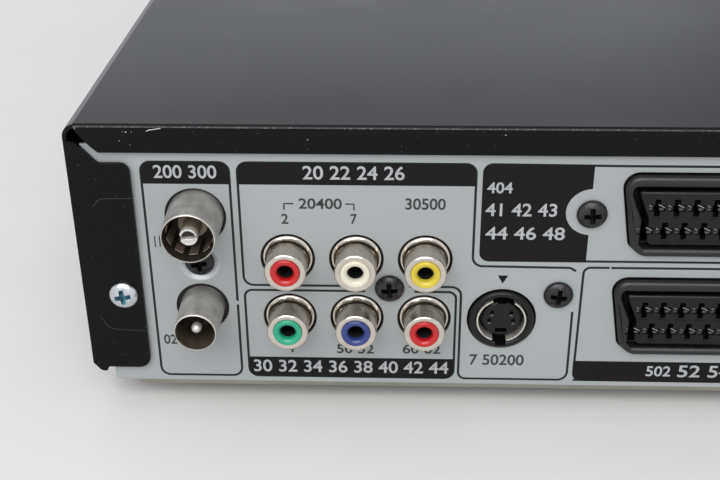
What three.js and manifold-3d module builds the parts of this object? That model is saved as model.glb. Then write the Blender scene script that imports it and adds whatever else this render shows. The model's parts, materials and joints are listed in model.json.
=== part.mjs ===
// Full-width disc recorder with a tray loader, seen mostly from its connector side.
// Millimetres. X runs to the right seen from the front, Y to the back, Z up from the table.
import * as THREE from 'three';
import { mergeVertices } from 'three/addons/utils/BufferGeometryUtils.js';
import Module from 'manifold-3d';

const wasm = await Module();
wasm.setup();

// Overall sizes
const caseWidth = 430;
const caseDepth = 286;
const footHeight = 4.6;
const panStep = 1.8;
const coverRise = 60.1;

// Sheet, clearances and shared detail
const coverSheet = 0.8;
const panelSheet = 1;
const panSheet = 1;
const seatGap = 0.3;
const overrun = 1;
const fineSteps = 9;
const coarseSteps = 5;
const cornerSteps = 3;
const smallSteps = 14;

// Cover
const coverBend = 2.8;
const coverSkirt = 4.8;
const topFlangeDrop = 5.9;
const topFlangeInset = 2.35;
const topFlangeSlope = 4.3;
const topFlangeKneeShare = 1 / 3;
const sideFlangeWidth = 12.45;
const sideFlangeTop = 52.2;
const sideFlangeShoulder = 56.7;
const sideFlangeBottom = 3.9;
const sideFlangeLobe = 2.85;
const sideFlangeCorner = 2.5;
const sideFlangeTopCorner = 1.4;
const sideFlangeCrest = 6.25;
const sideFlangeLobeInset = 2;
const sideFlangeLobeStart = 3.1;

// Back panel, drawn from the first printed line (across) and the panel's lower edge (up)
const datumInset = 14.2;
const panelInset = 4.3;
const panelRise = 58.6;
const panelEar = 1.8;
const panelEarLow = 6;
const panelEarHigh = 55.8;

// Chassis pan
const panInset = 9.3;
const ledgeRise = 4.2;
const sideLipHeight = 14;
const endLipHeight = 9;
const postRadius = 3;
const boardPostHeight = 6;

// Feet
const footRadius = 13;
const footTaper = 1.5;
const footInsetX = 45;
const footInsetY = 38;

// Aerial sockets
const aerialAcross = 10.33;
const aerialInUp = 39.9;
const aerialInRadius = 5.75;
const aerialInHole = 6.12;
const aerialInReach = 9.5;
const aerialTilt = 1.25;
const aerialTaper = 0.35;
const aerialOutUp = 18.75;
const aerialOutRadius = 4.7;
const aerialOutHole = 5.45;
const aerialOutReach = 10.4;
const aerialWall = 0.45;
const aerialWell = 9;
const aerialTubeSink = 1.5;
const aerialTube = 2;
const aerialTubeBore = 1.3;
const aerialPin = 1.1;
const dimpleUp = 29.2;
const dimpleRadius = 4.2;
const dimpleDepth = 0.5;
const tunerWidth = 20;
const tunerDepth = 62;
const tunerTopUp = 50;

// Phono sockets
const phonoAcross = 28.57;
const phonoPitch = 14;
const phonoLowUp = 16.5;
const phonoRowPitch = 14;
const phonoRadius = 4.15;
const phonoFlare = 5;
const phonoFlareDepth = 1.1;
const phonoFlareTaper = 0.55;
const phonoHole = 5.5;
const phonoReach = 6.4;
const phonoLip = 0.35;
const phonoBore = 3.3;
const phonoInsert = 3;
const phonoInsertSink = 0.9;
const phonoPinBore = 1.6;
const digitalPinDepth = 7;
const phonoBlockMargin = 7;
const phonoBlockDepth = 14;

// Round four-pin video socket
const videoAcross = 72.65;
const videoUp = 16.6;
const videoHole = 7.1;
const videoRadius = 6.8;
const videoProud = 0.9;
const videoRing = 5.3;
const videoCore = 4.1;
const videoWell = 4;
const videoPin = 0.6;
const videoHighPin = [2, 1.45];
const videoLowPin = [2.45, -0.5];
const videoKeyDrop = 2.75;
const videoKeyWidth = 2.44;
const videoKeyHeight = 1;
const videoDepth = 13;

// 21-pin sockets
const pinPitch = 3.81;
const pinColumns = 10;
const pinRowPitch = 5.08;
const scartAcross = 94.75;
const scartWidth = 47.15;
const scartHeight = 17.75;
const scartUpperUp = 32.3;
const scartLowerUp = 8.8;
const scartCorner = 0.9;
const scartCrown = 3.3;
const scartSlantUp = 2.75;
const scartSlantAcross = 5.1;
const scartSlantStart = 2.4;
const scartKneeUp = 14;
const scartRim = 1.9;
const scartGroove = 1.2;
const scartStep = 2.15;
const scartStepLow = 8.2;
const scartStepHigh = 13.6;
const scartToe = 0.9;
const scartProud = 1.6;
const scartDepth = 15;
const scartWell = 8;
const scartPinAcross = 5.3;
const scartPinStagger = 1.9;
const scartPinUp = 5.7;
const slotWidth = 1;
const slotHeight = 3.4;

// Digital output jack, fan and mains inlet
const digitalAcross = 158;
const digitalUp = 16.5;
const fanPlaceShare = 0.8165;
const fanUp = 30;
const fanSide = 40;
const fanDepth = 10;
const fanCorner = 2.5;
const fanBore = 18.6;
const fanHub = 8.5;
const fanHubWall = 1.2;
const fanBlades = 7;
const fanBladeThick = 1;
const fanBladePitch = 32;
const fanTipGap = 0.7;
const fanStrutWidth = 2.2;
const fanStrutDepth = 1.4;
const fanShaft = 1;
const grilleSlots = 7;
const grilleSlotHeight = 2.6;
const grillePitch = 5.2;
const grilleRoundShare = 0.48;
const inletInset = 39.8;
const inletUp = 16;
const inletFlangeWidth = 30;
const inletFlangeHeight = 15;
const inletProud = 1.5;
const inletBodyWidth = 21;
const inletBodyHeight = 12;
const inletWellWidth = 16.4;
const inletWellHeight = 7.6;
const inletWell = 11;
const inletRoundShare = 0.495;
const inletDepth = 14;
const inletCorner = 1.6;
const inletPin = 1.2;
const inletPinSpread = 4.3;
const inletPinLength = 9;

// Boards and what stands on them
const boardSheet = 1.6;
const mainBoardGap = 46.3;
const mainBoardOverhang = 1.5;
const mainBoardDepth = 200;
const powerBoardWidth = 64;
const powerBoardDepth = 190;
const powerBoardInset = 12;
const sinkHeight = 34;
const sinkLength = 60;
const sinkFins = 5;
const sinkFinWidth = 1.5;
const sinkFinPitch = 4.5;
const capacitorRadius = 11;
const capacitorHeight = 30;
const transformerWidth = 30;
const transformerDepth = 34;
const transformerHeight = 30;
const transformerYoke = 6;
const windingHeight = 18;

// Front
const bezelDepth = 16;
const bezelWall = 2.5;
const bezelLift = 0.6;
const bezelCorner = 2;
const buttonProud = 0.8;
const windowEjectGap = 8.5;
const windowPlayGap = 5.5;
const windowHeight = 22;
const windowCentreZ = 44;
const windowSink = 0.4;
const windowSheet = 1.5;
const buttonWidth = 13;
const buttonHeight = 7;
const buttonCorner = 1.6;
const buttonGap = 0.4;
const buttonFlange = 1;
const buttonFlangeSheet = 1;
const buttonTravel = 1.2;
const buttonStem = 2;
const keyPitch = 17;
const playInset = 48;
const powerInset = 30;
const ejectGap = 6.5;
const flapOverhang = 5;
const flapWidth = 84;
const flapHeight = 17;
const flapBottomZ = 9.5;
const flapSheet = 2;
const flapPin = 0.8;
const flapPinLength = 1.2;
const bayDepth = 12;
const bayWall = 1.5;
const bayRise = 0.5;
const frontJackRadius = 4.1;
const frontJackBore = 1.7;
const frontJackPitch = 17;
const frontJacks = 4;
const frontBoardMargin = 4;

// Loader, round the disc's centre
const loaderGap = 10;
const trayWidth = 129;
const trayLength = 190;
const trayTopZ = 42;
const trayHeight = 7.5;
const trayWall = 2;
const trayRim = 5;
const trayStroke = 138;
const discWell = 60.6;
const discWellDepth = 3.5;
const smallWell = 40.6;
const smallWellDepth = 1;
const traySlotHalf = 18;
const traySideGap = 0.5;
const capSheet = 3;
const capOverWidth = 5;
const capHeight = 15;
const capCrown = 1.3;
const capGap = 0.4;
const loaderWall = 4;
const loaderBaseZ = 14;
const loaderBaseSheet = 2.5;
const loaderTopZ = 46.2;
const loaderStart = 18;
const loaderLength = 184;
const railReach = 4;
const railHeight = 4;
const hookHeight = 2;
const hookReach = 2;
const bridgeSheet = 1;
const bridgeHalf = 22;
const bridgeCorner = 2.5;
const clampHub = 13.6;
const clampRim = 17;
const clampRimSheet = 1.5;
const clampRecess = 8.2;
const clampRecessDepth = 2.6;
const clampHoles = 3;
const clampHoleRadius = 1.5;
const clampHoleSpread = 10.5;

// Traverse cradle and pickup
const platterZ = 40.2;
const platterRadius = 15;
const platterHeight = 3.9;
const platterRim = 2;
const coneRadius = 7.4;
const coneHeight = 1.9;
const coneTaper = 0.95;
const coneSlots = 3;
const coneSlotStart = 2.5;
const coneSlotWidth = 1;
const spindleMotorRadius = 13.5;
const cradleHalf = 40;
const cradleSheet = 2;
const cradleCorner = 2.5;
const cradleZ = 30;
const cradleFront = 19;
const cradleWindowHalf = 34;
const cradleWindowStart = 16.5;
const cradleWindowEnd = 81;
const cradleBack = 94;
const cradlePivot = 88;
const cradlePivotZ = 31;
const trunnionRadius = 2;
const trunnionLength = 4;
const pivotWall = 2.5;
const pivotHeight = 5;
const rodRadius = 1.5;
const rodSpread = 22;
const rodGap = 0.2;
const rodZ = 27.2;
const rodBlock = 3;
const pickupHalf = 26;
const pickupLength = 26;
const pickupLow = 24;
const pickupHigh = 33.6;
const turretHalf = 11;
const turretTop = 37.2;
const lensRadius = 2.5;
const lensHeight = 0.6;
const lensLead = 5.5;
const sledHome = 24;
const screwSpread = 30.5;
const screwRadius = 1.5;
const sledMotorRadius = 5;
const sledMotorLength = 13;

// Loading gears and belt
const toothModule = 1.5;
const trayGearTeeth = 16;
const pinionTeeth = 10;
const toothBacklash = 0.22;
const addendumShare = 0.85;
const dedendumShare = 1.2;
const pressureAngle = 20;
const rackWidth = 5;
const rackGap = 0.4;
const rackDrop = 3.9;
const rackSpareTeeth = 3;
const gearPost = 1.8;
const gearPostGap = 0.2;
const gearPostFoot = 3.6;
const gearY = 34.7;
const gearX = -38;
const gearLowZ = 26.6;
const pinionMeshHeight = 3.2;
const pulleyRadius = 14;
const pulleyLowZ = 21.8;
const pulleyHeight = 4;
const beltGroove = 1.2;
const pulleyRimShare = 0.2;
const beltSheet = 1;
const beltHeight = 1.6;
const motorOffsetX = 50;
const motorPulleyRadius = 3.5;
const loadingMotorRadius = 10.5;
const loadingMotorHeight = 13;
const motorShaft = 1;

// Finishes
const black = { color: 0x232224, roughness: 0.62, metalness: 0.2 };
const panelGrey = { color: 0xaab2b7, roughness: 0.45, metalness: 0.3 };
const zinc = { color: 0x9a9b8e, roughness: 0.4, metalness: 0.8 };
const nickel = { color: 0xb9b2a6, roughness: 0.3, metalness: 1 };
const dullNickel = { color: 0x8f8c86, roughness: 0.38, metalness: 0.9 };
const plastic = { color: 0x1c1c1e, roughness: 0.5, metalness: 0 };
const paleResin = { color: 0xd8d6cc, roughness: 0.55, metalness: 0 };
const greyResin = { color: 0x6f7072, roughness: 0.55, metalness: 0 };
const boardGreen = { color: 0x2b5a3a, roughness: 0.6, metalness: 0 };
const rubber = { color: 0x2b2b2b, roughness: 0.9, metalness: 0 };
const phonoColours = [[0x2fa483, 0x2f3f86, 0xc22a2c], [0xc22a2c, 0xe8e4d6, 0xdccb3a]];
const phonoNames = [['green', 'blue', 'lower_red'], ['upper_red', 'white', 'yellow']];

// Places that follow from the sizes
const halfWidth = caseWidth / 2;
const panelZ = footHeight + panStep;
const topZ = panelZ + coverRise;
const panelY = caseDepth / 2 - aerialOutReach;
const behindPanelY = panelY - panelSheet;
const frontY = buttonProud - caseDepth / 2;
const datumX = halfWidth - datumInset;
const rearX = (across) => datumX - across;
const rearZ = (up) => panelZ + up;
const panFloorZ = footHeight + panSheet;
const boardZ = panFloorZ + boardPostHeight + seatGap;
const onBoardZ = boardZ + boardSheet + seatGap;
const digitalX = rearX(digitalAcross);
const inletX = inletInset - halfWidth;
const fanX = inletX + (digitalX - inletX) * fanPlaceShare;
const loaderHalf = trayWidth / 2 + traySideGap + loaderWall;
const driveX = powerBoardInset + powerBoardWidth + loaderGap + loaderHalf - halfWidth;
const capWidth = trayWidth + capOverWidth;
const ejectX = driveX + capWidth / 2 + ejectGap + buttonWidth / 2;
const playX = halfWidth - playInset;
const windowXs = [ejectX + buttonWidth / 2 + windowEjectGap, playX - buttonWidth / 2 - windowPlayGap];
const windowCentreX = (windowXs[0] + windowXs[1]) / 2;
const windowWidth = windowXs[1] - windowXs[0];
const flapXs = [windowXs[1] + flapOverhang - flapWidth, windowXs[1] + flapOverhang];
const flapCentreX = (flapXs[0] + flapXs[1]) / 2;

const model = new THREE.Group();

function add(name, geometry, finish, place = [0, 0, 0]) {
  const mesh = new THREE.Mesh(geometry, new THREE.MeshStandardMaterial(finish));
  mesh.name = name;
  mesh.position.set(...place);
  model.add(mesh);
  return mesh;
}

// Solids and booleans
function solidOf(geometry) {
  const bare = geometry.clone();
  bare.deleteAttribute('normal');
  bare.deleteAttribute('uv');
  const welded = mergeVertices(bare);
  const corners = Array.from(welded.index.array);
  const kept = [];
  for (let i = 0; i < corners.length; i += 3) {
    const [a, b, c] = corners.slice(i, i + 3);
    if (a !== b && b !== c && c !== a) kept.push(a, b, c);
  }
  const vertProperties = new Float32Array(welded.attributes.position.array);
  return new wasm.Manifold(new wasm.Mesh({ numProp: 3, vertProperties, triVerts: new Uint32Array(kept) }));
}

function geometryOf(solid) {
  const { vertProperties, triVerts } = solid.getMesh();
  const geometry = new THREE.BufferGeometry();
  geometry.setAttribute('position', new THREE.BufferAttribute(new Float32Array(vertProperties), 3));
  geometry.setIndex(new THREE.BufferAttribute(new Uint32Array(triVerts), 1));
  geometry.computeVertexNormals();
  return geometry;
}

function cut(base, ...tools) {
  let solid = solidOf(base);
  for (const tool of tools) solid = solid.subtract(solidOf(tool));
  return geometryOf(solid);
}

function join(...pieces) {
  let solid = solidOf(pieces[0]);
  for (const piece of pieces.slice(1)) solid = solid.add(solidOf(piece));
  return geometryOf(solid);
}

// Outlines
const point = (x, y) => new THREE.Vector2(x, y);

function arc(x, y, radius, from, to, steps) {
  const points = [];
  for (let i = 0; i <= steps; i += 1) {
    const angle = from + (to - from) * i / steps;
    points.push(point(x + radius * Math.cos(angle), y + radius * Math.sin(angle)));
  }
  return points;
}

const circle = (x, y, radius, steps) => arc(x, y, radius, 0, 2 * Math.PI, steps).slice(0, -1);

function roundedBox(x, y, width, height, radius, steps = cornerSteps) {
  const right = x + width / 2 - radius;
  const left = x - width / 2 + radius;
  const high = y + height / 2 - radius;
  const low = y - height / 2 + radius;
  const quarter = Math.PI / 2;
  return [
    ...arc(right, high, radius, 0, quarter, steps),
    ...arc(left, high, radius, quarter, 2 * quarter, steps),
    ...arc(left, low, radius, 2 * quarter, 3 * quarter, steps),
    ...arc(right, low, radius, 3 * quarter, 4 * quarter, steps),
  ];
}

const mirrored = (points) => points.map(({ x, y }) => point(-x, y)).reverse();

// Prisms along each axis, boxes and turned forms
function prism(points, low, high, holes = []) {
  const shape = new THREE.Shape(points);
  shape.holes = holes.map((hole) => new THREE.Path(hole));
  const geometry = new THREE.ExtrudeGeometry(shape, { depth: high - low, bevelEnabled: false });
  return geometry.translate(0, 0, low);
}

const prismY = (points, low, high, holes = []) => prism(points, -high, -low, holes).rotateX(Math.PI / 2);

const prismX = (points, low, high, holes = []) => (
  prism(points, low, high, holes).rotateX(Math.PI / 2).rotateZ(Math.PI / 2)
);

function box(xs, ys, zs) {
  const geometry = new THREE.BoxGeometry(xs[1] - xs[0], ys[1] - ys[0], zs[1] - zs[0]);
  return geometry.translate((xs[0] + xs[1]) / 2, (ys[0] + ys[1]) / 2, (zs[0] + zs[1]) / 2);
}

function turnedY(profile, steps) {
  const points = profile.map(([radius, along]) => point(radius, along));
  if (THREE.ShapeUtils.area(points) < 0) points.reverse();
  return new THREE.LatheGeometry([...points, points[0]], steps);
}

const turnedZ = (profile, steps) => turnedY(profile, steps).rotateX(Math.PI / 2);

const rodZAxis = (x, y, radius, low, high, steps) => prism(circle(x, y, radius, steps), low, high);

const rodYAxis = (x, z, radius, low, high, steps) => prismY(circle(x, z, radius, steps), low, high);

// Cover: a folded channel with flanges lapped over the back panel
const coverBackY = panelY + seatGap + coverSheet;
const coverFrontY = frontY + bezelDepth + seatGap;

function coverChannel() {
  const outer = (wall) => {
    const side = halfWidth - wall;
    const bend = coverBend - wall;
    const top = topZ - wall;
    return arc(side - bend, top - bend, bend, 0, Math.PI / 2, cornerSteps);
  };
  const half = (wall) => [point(halfWidth - wall, rearZ(coverSkirt)), ...outer(wall)];
  const outside = [...half(0), ...mirrored(half(0))];
  const inside = [...half(coverSheet), ...mirrored(half(coverSheet))];
  return prismY([...outside, ...inside.reverse()], coverFrontY, coverBackY);
}

function topFlange() {
  const end = halfWidth - topFlangeInset;
  const foot = end - topFlangeSlope;
  const low = topZ - topFlangeDrop;
  const right = [
    point(foot, low),
    point((end + foot) / 2, low + topFlangeDrop * topFlangeKneeShare),
    point(end, topZ - coverSheet - seatGap),
    point(end, topZ - coverSheet / 2),
  ];
  return prismY([...right, ...mirrored(right)], coverBackY - coverSheet, coverBackY);
}

function sideFlange(side) {
  const edge = halfWidth - coverSheet / 2;
  const inner = halfWidth - sideFlangeWidth;
  const crest = halfWidth - sideFlangeCrest;
  const corner = sideFlangeCorner;
  const turn = sideFlangeTopCorner;
  const quarter = Math.PI / 2;
  const outline = [
    point(edge, rearZ(sideFlangeShoulder)),
    point(halfWidth - topFlangeInset, rearZ(sideFlangeShoulder) - seatGap),
    point(crest, rearZ(sideFlangeTop)),
    ...arc(inner + turn, rearZ(sideFlangeTop) - turn, turn, quarter, 2 * quarter, cornerSteps),
    ...arc(inner + corner, rearZ(sideFlangeBottom) + corner, corner, 2 * quarter, 3 * quarter, cornerSteps),
    point(halfWidth - sideFlangeLobeStart, rearZ(sideFlangeBottom)),
    point(halfWidth - sideFlangeLobeInset, rearZ(sideFlangeLobe)),
    point(edge, rearZ(coverSkirt)),
  ];
  return prismY(side > 0 ? outline : mirrored(outline), coverBackY - coverSheet, coverBackY);
}

add('top_cover', join(coverChannel(), topFlange(), sideFlange(1), sideFlange(-1)), black);

// Chassis pan: floor, stepped ledges, side lips and end lips
const panHalf = halfWidth - panInset;
const lipHalf = halfWidth - coverSheet - seatGap;
const ledgeZ = rearZ(ledgeRise);
const panBackY = behindPanelY - seatGap;
const panFrontY = frontY + bezelDepth + seatGap;

function chassisPan() {
  const lipTop = ledgeZ + sideLipHeight;
  const right = [
    point(panHalf, footHeight),
    point(panHalf, ledgeZ),
    point(lipHalf, ledgeZ),
    point(lipHalf, lipTop),
    point(lipHalf - panSheet, lipTop),
    point(lipHalf - panSheet, ledgeZ + panSheet),
    point(panHalf - panSheet, ledgeZ + panSheet),
    point(panHalf - panSheet, panFloorZ),
  ];
  const lipZ = footHeight + endLipHeight;
  const lip = (low, high) => box([-panHalf, panHalf], [low, high], [footHeight, lipZ]);
  return join(
    prismY([...right, ...mirrored(right)], panFrontY, panBackY),
    lip(panBackY - panSheet, panBackY),
    lip(panFrontY, panFrontY + panSheet),
  );
}

add('bottom_chassis', chassisPan(), zinc);

// Four spacer posts between the pan's floor and the underside of what stands on it
function spacerPosts(x, y, width, depth, top) {
  return [-1, 1].flatMap((sx) => [-1, 1].map((sy) => rodZAxis(
    x + sx * (width / 2 - 2 * postRadius),
    y + sy * (depth / 2 - 2 * postRadius),
    postRadius,
    panFloorZ + seatGap,
    top,
    2 * coarseSteps,
  )));
}

// Feet
const footProfile = [
  [0, 0],
  [footRadius - footTaper, 0],
  [footRadius, footTaper],
  [footRadius, footHeight - seatGap],
  [0, footHeight - seatGap],
];
for (const [sideName, sx] of [['left', -1], ['right', 1]]) {
  for (const [endName, sy] of [['front', -1], ['rear', 1]]) {
    const x = sx * (halfWidth - footInsetX);
    const y = sy > 0 ? panBackY - footInsetY : frontY + footInsetY;
    add(`foot_${endName}_${sideName}`, turnedZ(footProfile, smallSteps), rubber, [x, y, 0]);
  }
}

// 21-pin socket outline, slanted at its lower first corner, drawn inset from its outer edge
function scartOutline(up, inset) {
  const left = scartAcross + inset;
  const right = scartAcross + scartWidth - inset;
  const high = up + scartHeight - inset;
  const low = up + inset;
  const corner = scartCorner;
  const crown = Math.max(scartCrown - inset, corner);
  const points = [
    ...arc(left + crown, high - crown, crown, Math.PI, Math.PI / 2, cornerSteps),
    ...arc(right - corner, high - corner, corner, Math.PI / 2, 0, cornerSteps),
    ...arc(right - corner, low + corner, corner, 0, -Math.PI / 2, cornerSteps),
    point(left + scartSlantAcross, low),
    point(left + scartSlantStart, up + scartSlantUp),
    point(left, up + scartKneeUp),
  ];
  return points.map(({ x, y }) => point(rearX(x), rearZ(y)));
}

// The recess inside it, stepped in beside the first contact so that a plug fits one way round
function scartRecess(up, inset) {
  const left = scartAcross + scartRim + inset;
  const right = scartAcross + scartWidth - scartRim - inset;
  const high = up + scartHeight - scartRim - inset;
  const low = up + scartRim + inset;
  const corner = scartCorner;
  const points = [
    ...arc(left + corner, high - corner, corner, Math.PI, Math.PI / 2, cornerSteps),
    ...arc(right - corner, high - corner, corner, Math.PI / 2, 0, cornerSteps),
    ...arc(right - corner, low + corner, corner, 0, -Math.PI / 2, cornerSteps),
    point(left + scartStep + scartToe, low),
    point(left + scartStep, low + scartToe),
    point(left + scartStep, up + scartStepLow),
    point(left, up + scartStepHigh),
  ];
  return points.map(({ x, y }) => point(rearX(x), rearZ(y)));
}

// Back panel
function grillePoints() {
  const slots = [];
  for (let i = 0; i < grilleSlots; i += 1) {
    const offset = (i - (grilleSlots - 1) / 2) * grillePitch;
    const length = 2 * Math.sqrt(fanBore ** 2 - offset ** 2) - grilleSlotHeight;
    const end = grilleSlotHeight * grilleRoundShare;
    slots.push(roundedBox(fanX, rearZ(fanUp) + offset, length, grilleSlotHeight, end, 1));
  }
  return slots;
}

const phonoPlaces = [0, 1].flatMap((row) => [0, 1, 2].map((column) => ({
  name: phonoNames[row][column],
  colour: phonoColours[row][column],
  x: rearX(phonoAcross + column * phonoPitch),
  z: rearZ(phonoLowUp + row * phonoRowPitch),
})));

function backPanel() {
  const half = halfWidth - panelInset;
  const high = rearZ(panelRise);
  const ear = half + panelEar;
  const right = [
    point(half, panelZ),
    point(half, rearZ(panelEarLow)),
    point(ear, rearZ(panelEarLow)),
    point(ear, rearZ(panelEarHigh)),
    point(half, rearZ(panelEarHigh)),
    point(half, high),
  ];
  const outline = [...right, ...mirrored(right)];
  const inletHole = [inletBodyWidth + 2 * seatGap, inletBodyHeight + 2 * seatGap];
  const holes = [
    circle(rearX(aerialAcross), rearZ(aerialInUp), aerialInHole, 2 * fineSteps),
    circle(rearX(aerialAcross), rearZ(aerialOutUp), aerialOutHole, 2 * fineSteps),
    ...phonoPlaces.map(({ x, z }) => circle(x, z, phonoHole, smallSteps)),
    circle(rearX(videoAcross), rearZ(videoUp), videoHole, 2 * fineSteps),
    scartOutline(scartUpperUp, -seatGap),
    scartOutline(scartLowerUp, -seatGap),
    circle(digitalX, rearZ(digitalUp), phonoHole, smallSteps),
    ...grillePoints(),
    roundedBox(inletX, rearZ(inletUp), ...inletHole, inletCorner, 1),
  ];
  const plate = prismY(outline, behindPanelY, panelY, holes);
  const dimple = turnedY([
    [0, -dimpleDepth],
    [dimpleRadius - dimpleDepth, -dimpleDepth],
    [dimpleRadius + overrun, overrun],
    [0, overrun],
  ], smallSteps).translate(rearX(aerialAcross), panelY, rearZ(dimpleUp));
  return cut(plate, dimple);
}

add('rear_panel', backPanel(), panelGrey);

// Tuner can and its two aerial sockets
const canFaceY = behindPanelY - seatGap;
const canX = rearX(aerialAcross);
add('tuner_module', box(
  [canX - tunerWidth / 2, canX + tunerWidth / 2],
  [canFaceY - tunerDepth, canFaceY],
  [onBoardZ, rearZ(tunerTopUp)],
), dullNickel);

// The profile runs from the can's face (zero) outwards
function aerialSocket(radius, reach, core, bore) {
  const start = canFaceY - panelY + 2 * seatGap;
  const floor = reach - aerialWell;
  const coreTip = reach - aerialTubeSink;
  const mouth = radius - aerialTaper;
  return turnedY([
    [0, start],
    [radius, start],
    [mouth, reach],
    [mouth - aerialWall, reach],
    [mouth - aerialWall, floor],
    [core, floor],
    [core, coreTip],
    [bore, coreTip],
    ...(bore > 0 ? [[bore, floor], [0, floor]] : []),
  ], 2 * fineSteps);
}

const aerialIn = add(
  'aerial_in_socket',
  aerialSocket(aerialInRadius, aerialInReach, aerialTube, aerialTubeBore),
  dullNickel,
  [canX, panelY, rearZ(aerialInUp)],
);
aerialIn.rotation.x = -THREE.MathUtils.degToRad(aerialTilt);
add(
  'aerial_out_socket',
  aerialSocket(aerialOutRadius, aerialOutReach, aerialPin, 0),
  dullNickel,
  [canX, panelY, rearZ(aerialOutUp)],
);

// Phono sockets: a flared plated shell round a coloured tube, standing on one block
const blockFaceY = behindPanelY - seatGap;

function phonoShell() {
  const start = blockFaceY - panelY + seatGap;
  const flareEnd = start + phonoFlareDepth;
  return turnedY([
    [phonoBore, start],
    [phonoFlare, start],
    [phonoFlare, flareEnd],
    [phonoRadius, flareEnd + phonoFlareTaper],
    [phonoRadius, phonoReach - phonoLip],
    [phonoRadius - phonoLip, phonoReach],
    [phonoBore, phonoReach - phonoLip],
  ], smallSteps);
}

function phonoInsertForm() {
  const start = blockFaceY - panelY + seatGap;
  const face = phonoReach - phonoInsertSink;
  return turnedY([
    [phonoPinBore, start],
    [phonoInsert, start],
    [phonoInsert, face],
    [phonoPinBore, face],
  ], 2 * coarseSteps);
}

for (const { name, colour, x, z } of phonoPlaces) {
  add(`phono_shell_${name}`, phonoShell(), nickel, [x, panelY, z]);
  const moulded = { color: colour, roughness: 0.45, metalness: 0 };
  add(`phono_insert_${name}`, phonoInsertForm(), moulded, [x, panelY, z]);
}
add('phono_block', box(
  [rearX(phonoAcross + 2 * phonoPitch + phonoBlockMargin), rearX(phonoAcross - phonoBlockMargin + seatGap)],
  [blockFaceY - phonoBlockDepth, blockFaceY],
  [onBoardZ, rearZ(phonoLowUp + phonoRowPitch + phonoBlockMargin)],
), plastic);

// Round four-pin video socket with an annular well and its key slot
function videoSocket() {
  const body = turnedY([
    [0, -videoDepth],
    [videoRadius, -videoDepth],
    [videoRadius, videoProud],
    [videoRing, videoProud],
    [videoRing, videoProud - videoWell],
    [videoCore, videoProud - videoWell],
    [videoCore, 0],
    [0, 0],
  ], 2 * fineSteps);
  const pins = [videoHighPin, videoLowPin].flatMap(([across, up]) => [-1, 1].map((side) => rodYAxis(
    side * across,
    up,
    videoPin,
    -videoWell,
    overrun,
    coarseSteps,
  )));
  const key = box(
    [-videoKeyWidth / 2, videoKeyWidth / 2],
    [-videoWell, overrun],
    [-videoKeyDrop - videoKeyHeight / 2, -videoKeyDrop + videoKeyHeight / 2],
  );
  return cut(body, ...pins, key);
}

add('s_video_socket', videoSocket(), plastic, [rearX(videoAcross), panelY, rearZ(videoUp)]);

// 21-pin socket: rim, groove for the plug's skirt, and a block of contact slots
function scartSocket(up) {
  const body = prismY(scartOutline(up, 0), panelY - scartDepth, panelY + scartProud);
  const groove = prismY(
    scartRecess(up, 0),
    panelY + scartProud - scartWell,
    panelY + scartProud + overrun,
    [scartRecess(up, scartGroove)],
  );
  const slots = [];
  for (let row = 0; row < 2; row += 1) {
    for (let i = 0; i < pinColumns; i += 1) {
      const x = rearX(scartAcross + scartPinAcross + (row > 0 ? scartPinStagger : 0) + i * pinPitch);
      const z = rearZ(up + scartPinUp + row * pinRowPitch);
      slots.push(box(
        [x - slotWidth / 2, x + slotWidth / 2],
        [panelY + scartProud - scartWell, panelY + scartProud + overrun],
        [z - slotHeight / 2, z + slotHeight / 2],
      ));
    }
  }
  return cut(body, groove, ...slots);
}

add('scart_upper', scartSocket(scartUpperUp), plastic);
add('scart_lower', scartSocket(scartLowerUp), plastic);

// Digital output jack: shell, insert and body in one
function digitalJack() {
  const face = phonoReach - phonoInsertSink;
  return turnedY([
    [0, -videoDepth],
    [phonoFlare, -videoDepth],
    [phonoFlare, phonoFlareTaper],
    [phonoRadius, 2 * phonoFlareTaper],
    [phonoRadius, phonoReach],
    [phonoBore, phonoReach],
    [phonoBore, face],
    [phonoPinBore, face],
    [phonoPinBore, face - digitalPinDepth],
    [0, face - digitalPinDepth],
  ], smallSteps);
}

add('digital_out_jack', digitalJack(), nickel, [digitalX, panelY, rearZ(digitalUp)]);

// Mains inlet: flanged housing, a long round-ended well and two pins
function mainsInlet() {
  const wellFloor = inletProud - inletWell;
  const flange = roundedBox(0, 0, inletFlangeWidth, inletFlangeHeight, inletCorner);
  const body = roundedBox(0, 0, inletBodyWidth, inletBodyHeight, inletCorner, 1);
  const housing = join(
    prismY(flange, seatGap, inletProud),
    prismY(body, -inletDepth, inletProud - seatGap),
  );
  const well = prismY(
    roundedBox(0, 0, inletWellWidth, inletWellHeight, inletWellHeight * inletRoundShare, coarseSteps),
    wellFloor,
    inletProud + overrun,
  );
  const pins = [-1, 1].map((side) => rodYAxis(
    side * inletPinSpread,
    0,
    inletPin,
    wellFloor - overrun,
    wellFloor + inletPinLength,
    2 * coarseSteps,
  ));
  return join(cut(housing, well), ...pins);
}

add('mains_inlet', mainsInlet(), plastic, [inletX, panelY, rearZ(inletUp)]);

// Fan: square frame with a hub held by struts, and a bladed rotor on its shaft
function fanFrame() {
  const frame = prismY(
    roundedBox(0, 0, fanSide, fanSide, fanCorner),
    -fanDepth,
    0,
    [circle(0, 0, fanBore, 2 * fineSteps)],
  );
  const strutLow = -fanDepth;
  const strutHigh = strutLow + fanStrutDepth;
  const reach = fanBore + seatGap;
  const hub = rodYAxis(0, 0, fanHub, strutLow, strutHigh, 2 * fineSteps);
  const strutX = box([-reach, reach], [strutLow, strutHigh], [-fanStrutWidth / 2, fanStrutWidth / 2]);
  const strutZ = box([-fanStrutWidth / 2, fanStrutWidth / 2], [strutLow, strutHigh], [-reach, reach]);
  const shaft = rodYAxis(0, 0, fanShaft, strutLow, -fanStrutDepth - fanHubWall, 2 * coarseSteps);
  return join(frame, hub, strutX, strutZ, shaft);
}

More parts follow.
